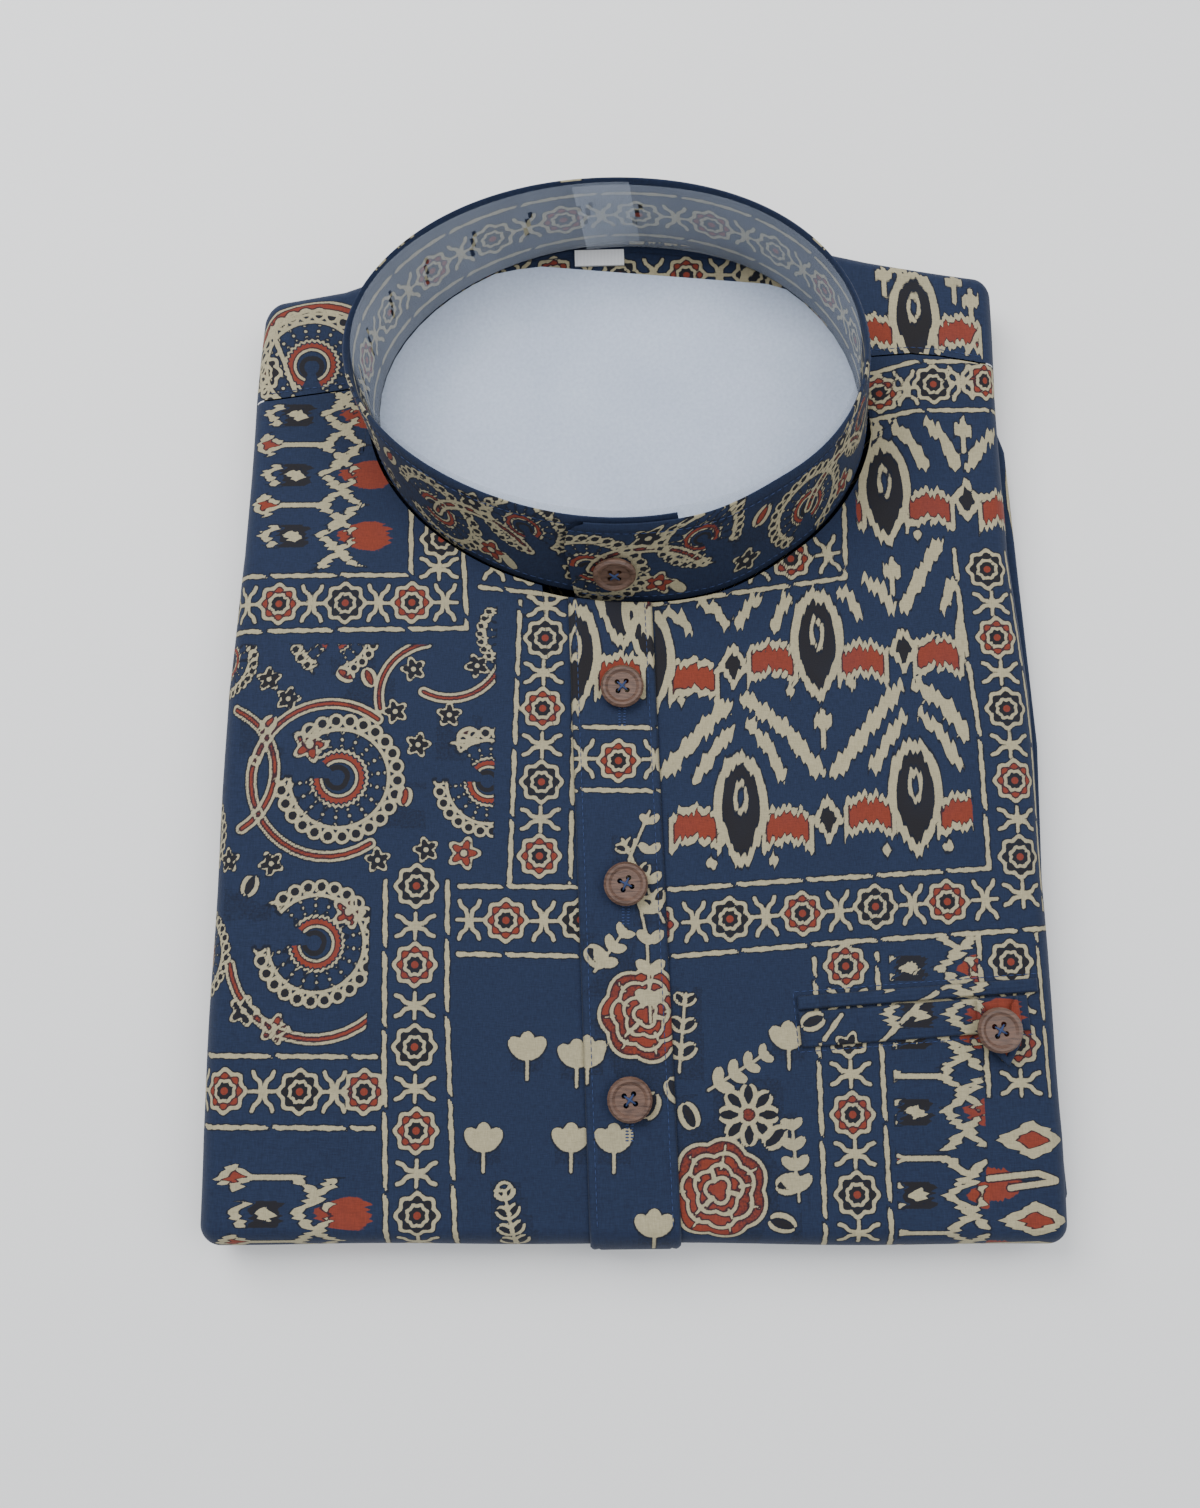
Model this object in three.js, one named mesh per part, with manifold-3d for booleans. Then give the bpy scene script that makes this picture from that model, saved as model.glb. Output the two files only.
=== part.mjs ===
// A man's cotton kurta, folded for the shop: face up, with its band collar standing in a ring.
// Millimetres. +X is the wearer's left, +Y runs from the bottom fold to the collar, +Z is up.
// The origin is on the surface it lies on, under the middle of the folded garment.

import * as THREE from 'three';
import { mergeVertices } from 'three/addons/utils/BufferGeometryUtils.js';
import Module from 'manifold-3d';

const wasm = await Module();
wasm.setup();

// Cloth and the folded pile
const CLOTH = 1.2;            // wall of a panel, printed cotton with its turnings
const GAP = 0.3;              // space kept between neighbouring pieces
const PILE = 20;              // height of the pile at the middle of the top panel
const CROWN = 0.8;            // how much lower the top lies at the edges
const WAIST = 10.1;           // height at which the outer folds reach furthest out
const FOLD_REACH = 6;         // how far a fold rounds over past the flat of the top
const FOLD_ARC = 8;           // cloth used by each radian of a fold
const FOOT = -153.75;         // outer edge of the bottom fold

// Folded side edges of the top panels, from the bottom fold to the shoulder
const SIDES = [
  { y: -153.75, left: -123.0, right: 121.4 },
  { y: -124, left: -123.7, right: 121.6 },
  { y: -80, left: -123.6, right: 120.4 },
  { y: 5, left: -123.2, right: 119.4 },
  { y: 22, left: -121.9, right: 118.2 },
  { y: 48, left: -120.0, right: 115.4 },
  { y: 99, left: -118.4, right: 114.4 },
  { y: 140, left: -116.0, right: 114.2 },
];

// Folded shoulder edge, from side to side behind the collar
const HEAD = [
  { x: -118, y: 130.5 },
  { x: -91, y: 136.0 },
  { x: -55, y: 150.0 },
  { x: -10, y: 155.6 },
  { x: 40, y: 153.5 },
  { x: 74, y: 146.4 },
  { x: 115, y: 139.6 },
];

// Seams that join the fronts to the yoke
const SEAM_RIGHT = [{ x: -112.4, y: 96.4 }, { x: -102, y: 97.9 }, { x: -91, y: 99.5 }, { x: -81, y: 101.0 }];
const SEAM_LEFT = [{ x: 108.3, y: 108.9 }, { x: 95, y: 111.2 }, { x: 86, y: 111.8 }, { x: 70.6, y: 110.4 }];

// Angles round the neck, from the middle of the front, at which those seams meet the collar
const SEAM_RIGHT_ANGLE = -1.71;
const SEAM_LEFT_ANGLE = 1.845;

// Band collar: its lower edge is sewn into the neck, its rim stands free
const NECK = { x: -4.2, y: 93.1, a: 75.8, b: 57.9 };
const RIM = { x: -8.6, y: 100.5, a: 75.5, b: 51.9 };
const EGG = 0.05;             // how much fuller the ring is on the wearer's left
const BAND_WIDTH = 32;
const BAND_WALL = 1.6;        // two layers of cotton with a stiffener between
const BAND_FOOT = 17.6;
const LAP = 1.9;              // how far the buttoned end rides over the other
const LAP_END = -0.175;       // angle of the buttoned end, from the middle of the front
const UNDER_END = 2 * Math.PI + 0.27;
const LAP_CORNER = 0.09;      // rounding of the buttoned end's upper corner, as an angle

// Clear support strip inside the band, its ends overlapped at the back
const STRIP_WALL = 0.6;
const STRIP_START = 3.05;
const STRIP_END = 3.28 + 2 * Math.PI;

// Buttons: flat four-hole buttons, half an inch across
const BUTTON_RADIUS = 6.35;
const BUTTON_THICK = 2.8;
const BUTTON_HOLE = 0.8;
const BUTTON_HOLE_OUT = 1.35;
const PLACKET_WALL = 1.4;
const BUTTONS = [
  { name: 'placket_button_1', x: -3.9, y: 4.8, spin: 0.1 },
  { name: 'placket_button_2', x: -3.0, y: -53.2, spin: 0.35 },
  { name: 'placket_button_3', x: -2.1, y: -113.2, spin: 0.2 },
];

// Welt pocket on the wearer's left front, tilted up towards the side
const POCKET = { x: 46.6, y: -99.2, tilt: 0.075, length: 65.5, mouth: 10.2, height: 14.4 };
const WELT_WALL = 1.2;

// Colours
const NAVY = 0x223458;
const PAPER = 0xc3ccdb;
const WOOD = 0x5a4338;
const CLEAR = 0xdfe6ee;
const WHITE = 0xd9dbdc;

const material = (color, roughness, extra = {}) =>
  new THREE.MeshStandardMaterial({ color, roughness, metalness: 0, ...extra });

const mix = (from, to, share) => from + (to - from) * share;
const ease = (t) => t * t * (3 - 2 * t);
const share = (value, from, to) => THREE.MathUtils.clamp((value - from) / (to - from), 0, 1);

// Value of a column of a table at a place between two of its rows
function along(table, key, value, column) {
  const last = table.length - 1;
  let row = 0;
  while (row < last - 1 && value > table[row + 1][key]) row += 1;
  const [low, high] = [table[row], table[row + 1]];
  return mix(low[column], high[column], share(value, low[key], high[key]));
}

const topHeight = (x, y) => PILE - CROWN * Math.min(1, (x / 120) ** 4 + (y / 160) ** 4);

// A point of the outer cloth. p and q are its place on the flat top; past the start of a fold they go
// on as lengths of cloth round it. A negative depth stands proud of the panel.
function cloth(p, q, depth) {
  const leftFold = along(SIDES, 'y', q, 'left') + FOLD_REACH;
  const rightFold = along(SIDES, 'y', q, 'right') - FOLD_REACH;
  const footFold = FOOT + FOLD_REACH;
  const headFold = along(HEAD, 'x', p, 'y') - FOLD_REACH;
  const across = p < leftFold ? p - leftFold : Math.max(0, p - rightFold);
  const down = q < footFold ? q - footFold : Math.max(0, q - headFold);
  const reach = Math.hypot(across, down);
  const turn = Math.min(Math.PI, reach / FOLD_ARC);
  const out = reach > 0 ? (FOLD_REACH - depth) * Math.sin(turn) / reach : 0;
  const flatX = p - across;
  const flatY = q - down;
  const rise = (turn < Math.PI / 2 ? topHeight(flatX, flatY) - WAIST : WAIST - 0.2) - depth;
  return new THREE.Vector3(flatX + across * out, flatY + down * out, WAIST + rise * Math.cos(turn));
}

// A closed wall between two faces, each a function of u and v from 0 to 1
function wall(columns, rows, outer, inner) {
  const points = [];
  for (const face of [outer, inner]) {
    for (let j = 0; j <= rows; j += 1) {
      for (let i = 0; i <= columns; i += 1) points.push(face(i / columns, j / rows));
    }
  }
  const stride = columns + 1;
  const behind = stride * (rows + 1);
  const index = [];
  const quad = (a, b, c, d) => index.push(a, b, c, a, c, d);
  for (let j = 0; j < rows; j += 1) {
    for (let i = 0; i < columns; i += 1) {
      const a = j * stride + i;
      quad(a, a + 1, a + 1 + stride, a + stride);
      quad(behind + a, behind + a + stride, behind + a + stride + 1, behind + a + 1);
    }
    const first = j * stride;
    const end = first + columns;
    quad(first, first + stride, behind + first + stride, behind + first);
    quad(end + stride, end, behind + end, behind + end + stride);
  }
  for (let i = 0; i < columns; i += 1) {
    const far = rows * stride + i;
    quad(i + 1, i, behind + i, behind + i + 1);
    quad(far, far + 1, behind + far + 1, behind + far);
  }
  const geometry = new THREE.BufferGeometry().setFromPoints(points);
  geometry.setIndex(index);
  geometry.computeVertexNormals();
  return geometry;
}

// Share u of a row of columns, with a given number of them spent on the fold at its start
function foldShare(u, columns, foldColumns) {
  const place = u * columns;
  if (place <= foldColumns) return { fold: 1 - place / foldColumns, flat: 0 };
  return { fold: 0, flat: (place - foldColumns) / (columns - foldColumns) };
}

// A point of the neck line, at an angle from the middle of the front, moved out by an offset
function neckPoint(angle, offset) {
  const b = (NECK.b + offset) * (1 + EGG * Math.sin(angle));
  return { x: NECK.x + (NECK.a + offset) * Math.sin(angle), y: NECK.y - b * Math.cos(angle) };
}

// How far the band is moved out at an angle, where its buttoned end rides over the other
const lapAt = (angle) => LAP * (1 - ease(share(angle, 0.33, 0.75)));

// How far a panel's neck edge stays from the middle of the band's wall
function neckEase(angle) {
  const back = Math.max(0, -Math.cos(angle)) ** 4;
  return lapAt(angle < -0.3 ? 1 : angle) + BAND_WALL / 2 + GAP + 0.9 + 1.1 * back;
}

// Middle of the front opening, hidden under the placket
const openingX = (y) => mix(-0.5, -7.4, share(y, FOOT, 35));

// One front: side is -1 for the wearer's right front and 1 for the left one
function front(side, name, seam, seamAngle) {
  const columns = 17;
  const foldColumns = 4;
  const seamColumns = seam.length - 1;
  const rows = 18;
  const foldRows = 7;
  const edge = side < 0 ? 'left' : 'right';
  const flatColumns = columns - foldColumns;
  const sideFold = (y) => along(SIDES, 'y', y, edge) - side * FOLD_REACH;

  // Upper end of a column: along the yoke seam first, then round the neck to the opening
  function upperEnd(flat) {
    const place = flat * flatColumns;
    if (place < seamColumns) {
      const column = Math.round(place);
      return { x: seam[column].x, y: seam[column].y - GAP / 2 };
    }
    const turned = (place - seamColumns) / (flatColumns - seamColumns);
    const angle = mix(seamAngle, side * 0.02, turned);
    const point = neckPoint(angle, neckEase(angle));
    return turned < 1 ? point : { x: openingX(point.y) + side * GAP / 2, y: point.y };
  }

  function face(depth) {
    return (u, v) => {
      const { fold, flat } = foldShare(side < 0 ? u : 1 - u, columns, foldColumns);
      const turnedUp = v * rows < foldRows;
      const top = upperEnd(flat);
      const bend = FOOT + FOLD_REACH;
      const climb = turnedUp ? 0 : (v * rows - foldRows) / (rows - foldRows);
      const y = turnedUp ? bend - Math.PI * FOLD_ARC * (1 - v * rows / foldRows) : mix(bend, top.y, climb);
      const start = sideFold(y);
      const middle = openingX(y) + side * GAP / 2;
      const straight = mix(start, middle, flat);
      const ringed = mix(start, middle, (top.x - sideFold(top.y)) / (openingX(top.y) - sideFold(top.y)));
      const x = flat < 1 ? mix(straight, ringed, climb * climb) : middle;
      return cloth(x + side * fold * FOLD_ARC * Math.PI / 2, y, depth);
    };
  }

  const mesh = new THREE.Mesh(wall(columns, rows, face(0), face(CLOTH)), material(NAVY, 0.85));
  mesh.name = name;
  return mesh;
}

// Yoke: from the two front seams, round behind the collar and over the shoulder edge
function yoke() {
  const columns = 32;
  const rows = 8;
  const rimRows = 3;
  const quarter = FOLD_ARC * 1.45;
  const start = SEAM_RIGHT_ANGLE;
  const end = SEAM_LEFT_ANGLE - 2 * Math.PI;

  // Outer boundary of the flat part, round the shoulders from seam to seam
  const leftX = along(SIDES, 'y', 97, 'left') + FOLD_REACH;
  const rightX = along(SIDES, 'y', 109, 'right') - FOLD_REACH;
  const border = [
    { at: 0, x: leftX, y: 96.4 },
    { at: 0.13, x: leftX, y: along(HEAD, 'x', leftX, 'y') - FOLD_REACH },
    { at: 0.25, x: -86, y: along(HEAD, 'x', -86, 'y') - FOLD_REACH },
    { at: 0.36, x: -50, y: along(HEAD, 'x', -50, 'y') - FOLD_REACH },
    { at: 0.5, x: -6, y: along(HEAD, 'x', -6, 'y') - FOLD_REACH },
    { at: 0.66, x: 40, y: along(HEAD, 'x', 40, 'y') - FOLD_REACH },
    { at: 0.76, x: 74, y: along(HEAD, 'x', 74, 'y') - FOLD_REACH },
    { at: 0.9, x: rightX, y: along(HEAD, 'x', rightX, 'y') - FOLD_REACH },
    { at: 1, x: rightX, y: 109.0 },
  ];

  const seamHeight = (x) => (x < NECK.x
    ? along(SEAM_RIGHT, 'x', x, 'y')
    : along(SEAM_LEFT.toReversed(), 'x', x, 'y'));

  function face(depth) {
    return (u, v) => {
      const angle = mix(start, end, u);
      const near = neckPoint(angle, neckEase(angle));
      const x = along(border, 'at', u, 'x');
      const y = along(border, 'at', u, 'y');
      const sideways = u < 0.13 || u > 0.9;
      const corner = Math.abs(u - 0.13) < 0.02 || Math.abs(u - 0.9) < 0.02;
      const outX = sideways || corner ? Math.sign(x) : 0;
      const outY = sideways && !corner ? 0 : 1;
      const length = quarter / Math.hypot(outX, outY);
      const place = v * rows;
      const flat = share(place, 0, rows - rimRows);
      const bend = share(place, rows - rimRows, rows) * length;
      const p = mix(near.x, x, flat);
      const q = Math.max(mix(near.y, y, flat), seamHeight(p) + GAP);
      return cloth(p + outX * bend, q + outY * bend, depth);
    };
  }

  const mesh = new THREE.Mesh(wall(columns, rows, face(0), face(CLOTH)), material(NAVY, 0.85));
  mesh.name = 'yoke';
  return mesh;
}

// A flat piece cut to a neck-shaped outline and closed by straight edges across it
function neckPlate(name, offset, cut, low, thick, finish) {
  const outline = [];
  const steps = 56;
  for (let i = 0; i < steps; i += 1) {
    const point = neckPoint(2 * Math.PI * i / steps, offset);
    outline.push(new THREE.Vector2(...cut(point)));
  }
  const geometry = new THREE.ExtrudeGeometry(new THREE.Shape(outline), { depth: thick, bevelEnabled: false });
  const mesh = new THREE.Mesh(geometry, finish);
  mesh.position.z = low;
  mesh.name = name;
  return mesh;
}

// A point of the standing band: height 0 is its sewn edge and 1 its rim
function bandPoint(angle, height, offset) {
  const low = neckPoint(angle, 0);
  const fullness = 1 + EGG * Math.sin(angle);
  const high = { x: RIM.x + RIM.a * Math.sin(angle), y: RIM.y - RIM.b * fullness * Math.cos(angle) };
  const lean = Math.hypot(high.x - low.x, high.y - low.y);
  const rise = Math.sqrt(BAND_WIDTH ** 2 - lean ** 2);
  const x = mix(low.x, high.x, height) + offset * Math.sin(angle);
  const y = mix(low.y, high.y, height) - offset * Math.cos(angle);
  return new THREE.Vector3(x, y, BAND_FOOT + rise * height);
}

// Collar band: one strip, its buttoned end lapped over the other at the front
function collarBand() {
  const face = (side) => (u, v) => {
    const corner = LAP_CORNER * (1 - Math.sqrt(1 - share(v, 0.6, 1) ** 2));
    const angle = mix(LAP_END + corner, UNDER_END, u);
    return bandPoint(angle, v, lapAt(angle) + side * BAND_WALL / 2);
  };
  const mesh = new THREE.Mesh(wall(64, 4, face(1), face(-1)), material(NAVY, 0.85));
  mesh.name = 'collar_band';
  return mesh;
}

// Clear strip that holds the ring open: its last stretch lies inside its first
function supportStrip() {
  const face = (side) => (u, v) => {
    const angle = mix(STRIP_START, STRIP_END, u);
    const inside = 0.9 * ease(share(angle, 2 * Math.PI + 2.5, 2 * Math.PI + 3.0));
    return bandPoint(angle, mix(0.05, 1.015, v), -1.5 - inside + side * STRIP_WALL / 2);
  };
  const clear = material(CLEAR, 0.12, { transparent: true, opacity: 0.3 });
  const mesh = new THREE.Mesh(wall(64, 2, face(1), face(-1)), clear);
  mesh.name = 'collar_support_strip';
  return mesh;
}

// Hidden layers: one solid, its sides rounded into the edges of the folds that lie on each other.
// side is how far each level lies in from the outline, and sleeve the same beside the sleeve.
const LAYERS = [
  { z: 0, side: 3.4, sleeve: 3.6 },
  { z: 0.9, side: 1.7, sleeve: 2.0 },
  { z: 1.9, side: 1.3, sleeve: 1.6 },
  { z: 2.9, side: 1.9, sleeve: 2.4 },
  { z: 3.4, side: 3.8, sleeve: 4.2 },
  { z: 3.9, side: 2.0, sleeve: 2.6 },
  { z: 5.0, side: 1.2, sleeve: 2.0 },
  { z: 5.8, side: 2.0, sleeve: 3.4 },
  { z: 6.1, side: 3.9, sleeve: 10.5 },
  { z: 6.6, side: 2.2, sleeve: 10.5 },
  { z: 7.9, side: 1.4, sleeve: 10.5 },
  { z: 9.0, side: 2.0, sleeve: 10.5 },
  { z: 9.5, side: 3.6, sleeve: 10.5 },
  { z: 10.4, side: 2.2, sleeve: 3.4 },
  { z: 12.5, side: 2.3, sleeve: 2.4 },
  { z: 14.5, side: 2.9, sleeve: 3.0 },
  { z: 16.2, side: 4.2, sleeve: 4.3 },
  { z: 17.2, side: 6.2, sleeve: 6.3 },
];
const CORE_CLEAR = CLOTH + GAP + 0.3;
const CORE_CORNER = 13;
const SHOULDER_CORNER = 8;
const DISH_FLOOR = 15.4;

// How far the hidden layers stay inside the bottom fold at a height
function footInset(z) {
  if (z < CORE_CLEAR + 0.1) return FOLD_REACH + 2.5;
  const lift = z < WAIST ? (WAIST - z) / (WAIST - CORE_CLEAR) : (z - WAIST) / (17.6 - WAIST);
  return FOLD_REACH - (FOLD_REACH - CORE_CLEAR) * Math.sqrt(1 - Math.min(1, lift) ** 2);
}

function foldedLayers() {
  const sideSteps = 7;
  const cornerSteps = 5;
  const headSteps = 6;
  const rings = LAYERS.map(({ z, side, sleeve }) => {
    const foot = FOOT + footInset(z);
    const ring = [];
    const leftAt = (y) => along(SIDES, 'y', y, 'left') + side;
    const rightAt = (y) => along(SIDES, 'y', y, 'right') - sleeve;
    const headAt = (x) => along(HEAD, 'x', x, 'y') - side;
    const corner = (x, y, radius, from) => {
      for (let i = 0; i <= cornerSteps; i += 1) {
        const angle = from + Math.PI / 2 * i / cornerSteps;
        ring.push([x + radius * Math.cos(angle), y + radius * Math.sin(angle)]);
      }
    };
    const footY = foot + CORE_CORNER;
    const headLeft = headAt(leftAt(120) + SHOULDER_CORNER) - SHOULDER_CORNER - 1;
    const headRight = headAt(rightAt(120) - SHOULDER_CORNER) - SHOULDER_CORNER - 1;
    corner(leftAt(footY) + CORE_CORNER, footY, CORE_CORNER, Math.PI);
    corner(rightAt(footY) - CORE_CORNER, footY, CORE_CORNER, -Math.PI / 2);
    for (let i = 1; i < sideSteps; i += 1) {
      const y = mix(footY, headRight, i / sideSteps);
      ring.push([rightAt(y), y]);
    }
    corner(rightAt(headRight) - SHOULDER_CORNER, headRight, SHOULDER_CORNER, 0);
    for (let i = 1; i < headSteps; i += 1) {
      const x = mix(rightAt(headRight) - SHOULDER_CORNER, leftAt(headLeft) + SHOULDER_CORNER, i / headSteps);
      ring.push([x, headAt(x) - 1]);
    }
    corner(leftAt(headLeft) + SHOULDER_CORNER, headLeft, SHOULDER_CORNER, Math.PI / 2);
    for (let i = sideSteps - 1; i >= 1; i -= 1) {
      const y = mix(footY, headLeft, i / sideSteps);
      ring.push([leftAt(y), y]);
    }
    return ring.map(([x, y]) => new THREE.Vector3(x, y, z));
  });

  const count = rings[0].length;
  const points = rings.flat();
  const index = [];
  for (let level = 0; level < rings.length - 1; level += 1) {
    for (let i = 0; i < count; i += 1) {
      const a = level * count + i;
      const b = level * count + (i + 1) % count;
      index.push(a, b, b + count, a, b + count, a + count);
    }
  }
  const top = (rings.length - 1) * count;
  const flat = rings[0].map((point) => new THREE.Vector2(point.x, point.y));
  const capped = rings[rings.length - 1].map((point) => new THREE.Vector2(point.x, point.y));
  for (const [a, b, c] of THREE.ShapeUtils.triangulateShape(flat, [])) index.push(a, c, b);
  for (const [a, b, c] of THREE.ShapeUtils.triangulateShape(capped, [])) index.push(top + a, top + b, top + c);
  const geometry = new THREE.BufferGeometry().setFromPoints(points);
  geometry.setIndex(index);

  // The neck is sunk into the pile, down to the inside of the back
  const dish = new THREE.Shape();
  dish.absellipse(NECK.x, NECK.y + 1, NECK.a + 4.5, NECK.b + 5.5, 0, 2 * Math.PI, false, 0);
  const dishBlock = new THREE.ExtrudeGeometry(dish, { depth: 10, bevelEnabled: false, curveSegments: 32 });
  dishBlock.translate(0, 0, DISH_FLOOR);
  const mesh = new THREE.Mesh(combine(geometry, dishBlock), material(NAVY, 0.9));
  mesh.name = 'folded_layers';
  return mesh;
}

// Solid that manifold-3d works on, from a closed geometry
function solid(geometry) {
  const bare = geometry.index ? geometry.toNonIndexed() : geometry.clone();
  bare.deleteAttribute('normal');
  bare.deleteAttribute('uv');
  const merged = mergeVertices(bare, 1e-4);
  const vertProperties = new Float32Array(merged.attributes.position.array);
  const triVerts = new Uint32Array(merged.index.array);
  return new wasm.Manifold(new wasm.Mesh({ numProp: 3, vertProperties, triVerts }));
}

// The first geometry with all the others cut out of it
function combine(body, ...tools) {
  let result = solid(body);
  for (const tool of tools) result = result.subtract(solid(tool));
  const { vertProperties, triVerts } = result.getMesh();
  const geometry = new THREE.BufferGeometry();
  geometry.setAttribute('position', new THREE.BufferAttribute(new Float32Array(vertProperties), 3));
  geometry.setIndex(new THREE.BufferAttribute(new Uint32Array(triVerts), 1));
  geometry.computeVertexNormals();
  return geometry;
}

// Sleeve folded in behind the wearer's left front: its fold shows past the edge
const SLEEVE_EDGE = [
  { y: -149, x: 119.5 },
  { y: -141, x: 123.66 },
  { y: -128, x: 123.0 },
  { y: -110, x: 120.6 },
  { y: -60, x: 121.4 },
  { y: -10, x: 122.6 },
  { y: 12, x: 121.4 },
  { y: 45, x: 119.6 },
  { y: 84, x: 117.6 },
  { y: 95, x: 114.0 },
];
function sleeve() {
  const thick = 2.8;
  const low = 6.35;
  const nose = thick / 2;
  const inner = 9.6;
  const stations = SLEEVE_EDGE.length - 1;
  const face = (depth) => (u, v) => {
    const station = SLEEVE_EDGE[Math.round(v * stations)];
    const inside = along(SIDES, 'y', station.y, 'right') - inner;
    const outside = station.x - nose;
    const straight = share(Math.abs(u - 0.5), 0.3, 0.5);
    const side = Math.sign(u - 0.5);
    const turn = share(u, 0.2, 0.8) * Math.PI;
    const radius = nose - depth;
    const x = straight > 0 ? mix(outside, inside, straight) : outside + radius * Math.sin(turn);
    const z = straight > 0 ? side * radius : -radius * Math.cos(turn);
    return new THREE.Vector3(x, station.y, low + nose + z);
  };
  const mesh = new THREE.Mesh(wall(8, stations, face(1.1), face(0)), material(NAVY, 0.85));
  mesh.name = 'sleeve_left';
  return mesh;
}

// Placket: a strip down the front opening, proud of both fronts, running over the bottom fold
const placketLeft = (y) => mix(-13.1, -20.1, share(y, FOOT, 35));
const placketRight = (y) => mix(12.3, 5.0, share(y, FOOT, 35));
function placket() {
  const foldRows = 6;
  const rows = 22;
  const tail = FOLD_ARC * Math.PI * 0.6;
  const face = (height) => (u, v) => {
    const bend = FOOT + FOLD_REACH;
    const x0 = mix(placketLeft(30), placketRight(30), u);
    const angle = Math.asin((x0 - NECK.x) / (NECK.a + 5));
    const top = neckPoint(angle, neckEase(angle) + 0.2).y;
    const place = v * rows;
    const y = place < foldRows
      ? bend - tail * (1 - place / foldRows)
      : mix(bend, top, (place - foldRows) / (rows - foldRows));
    return cloth(mix(placketLeft(y), placketRight(y), u), y, -height);
  };
  const mesh = new THREE.Mesh(wall(5, rows, face(GAP + PLACKET_WALL), face(GAP)), material(NAVY, 0.85));
  mesh.name = 'placket';
  return mesh;
}

// A strip of cloth lying on the left front, measured along and across the tilted pocket
function weltPiece(name, from, to, low, high, height, wallSize) {
  const face = (lift) => (u, v) => {
    const a = mix(from, to, u);
    const b = mix(low, high, v);
    const x = POCKET.x + a * Math.cos(POCKET.tilt) - b * Math.sin(POCKET.tilt);
    const y = POCKET.y + a * Math.sin(POCKET.tilt) + b * Math.cos(POCKET.tilt);
    return cloth(x, y, -lift);
  };
  const mesh = new THREE.Mesh(wall(12, 2, face(height + wallSize), face(height)), material(NAVY, 0.85));
  mesh.name = name;
  return mesh;
}

// Loop: a narrow folded strip that comes out of the pocket mouth, round the button, to a point
function pocketLoop() {
  const width = 3.2;
  const path = [[50.5, 9.8], [50.0, 2.5], [52.0, -3.0], [57.4, -9.6], [61.6, -3.2], [62.6, 2.5], [62.3, 9.8]];
  const shape = new THREE.Shape();
  const inward = ([a, b]) => {
    const dx = 56.3 - a;
    const dy = 3.5 - b;
    const length = Math.hypot(dx, dy);
    return [a + dx / length * width, b + dy / length * width];
  };
  const inside = path.map((point, i) => {
    if (i === 0) return [point[0] + width, point[1]];
    if (i === path.length - 1) return [point[0] - width, point[1]];
    return inward(point);
  });
  const outline = [...path, ...inside.reverse()];
  shape.setFromPoints(outline.map(([a, b]) => new THREE.Vector2(a, b)));
  const geometry = new THREE.ExtrudeGeometry(shape, { depth: 1.0, bevelEnabled: false });
  const mesh = new THREE.Mesh(geometry, material(NAVY, 0.85));
  mesh.rotation.z = POCKET.tilt;
  mesh.position.set(POCKET.x, POCKET.y, PILE + GAP + WELT_WALL + 0.1);
  mesh.name = 'pocket_loop';
  return mesh;
}

// A flat button with a raised rim and four holes, its back on z = 0
function button(name) {
  const profile = [
    [0, 0],
    [4.2, 0],
    [5.7, 0.5],
    [BUTTON_RADIUS, 1.3],
    [BUTTON_RADIUS, 2.0],
    [5.7, BUTTON_THICK],
    [5.0, BUTTON_THICK],
    [4.2, 2.15],
    [0, 2.05],
  ].map(([r, z]) => new THREE.Vector2(r, z));
  const body = new THREE.LatheGeometry(profile, 24);
  body.rotateX(Math.PI / 2);
  const holes = [[1, 1], [-1, 1], [-1, -1], [1, -1]].map(([i, j]) => {
    const hole = new THREE.CylinderGeometry(BUTTON_HOLE, BUTTON_HOLE, 8, 8);
    hole.rotateX(Math.PI / 2);
    hole.translate(i * BUTTON_HOLE_OUT, j * BUTTON_HOLE_OUT, 0);
    return hole;
  });
  const mesh = new THREE.Mesh(combine(body, ...holes), material(WOOD, 0.5));
  mesh.name = name;
  return mesh;
}

// Buttons of the placket, the pocket and the collar
function buttons() {
  const group = new THREE.Group();
  for (const { name, x, y, spin } of BUTTONS) {
    const mesh = button(name);
    mesh.position.set(x, y, topHeight(x, y) + GAP + PLACKET_WALL + 0.6);
    mesh.rotation.set(0, 0, spin);
    group.add(mesh);
  }
  const pocketButton = button('pocket_button');
  pocketButton.position.set(101.8, -94.2, PILE + GAP + WELT_WALL + 1.6);
  pocketButton.rotation.z = 0.25;
  group.add(pocketButton);

  const angle = 0.0;
  const height = 0.45;
  const seat = bandPoint(angle, height, lapAt(angle) + BAND_WALL / 2 + 0.5);
  const up = bandPoint(angle, 1, 0).sub(bandPoint(angle, 0, 0)).normalize();
  const collarButton = button('collar_button');
  collarButton.position.copy(seat);
  collarButton.rotation.set(Math.atan2(up.z, up.y) - 0.04, 0, 0);
  group.add(collarButton);
  return group;
}

// Size label, bare, lying on the inside of the back just under the strip
function label() {
  const mesh = new THREE.Mesh(new THREE.BoxGeometry(15.6, 5.4, 0.6), material(WHITE, 0.9));
  mesh.position.set(-10.6, 145.5, 17.6);
  mesh.rotation.z = 0.03;
  mesh.name = 'size_label';
  return mesh;
}

const LINING_LOW = 15.8;
const LINING_CUT = 98;
const lining = neckPlate('yoke_lining', -0.4, ({ x, y }) => [x, Math.max(y, LINING_CUT)],
  LINING_LOW, CLOTH, material(NAVY, 0.85));

const PAPER_EDGE = [{ x: -80, y: 135 }, { x: -61, y: 137.7 }, { x: -29.4, y: 142.4 }, { x: 76, y: 133.6 }];
const paper = neckPlate('neck_paper', -1.3, ({ x, y }) => [x, Math.min(y, along(PAPER_EDGE, 'x', x, 'y'))],
  LINING_LOW + CLOTH + GAP, 0.6, material(PAPER, 0.9));

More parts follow.
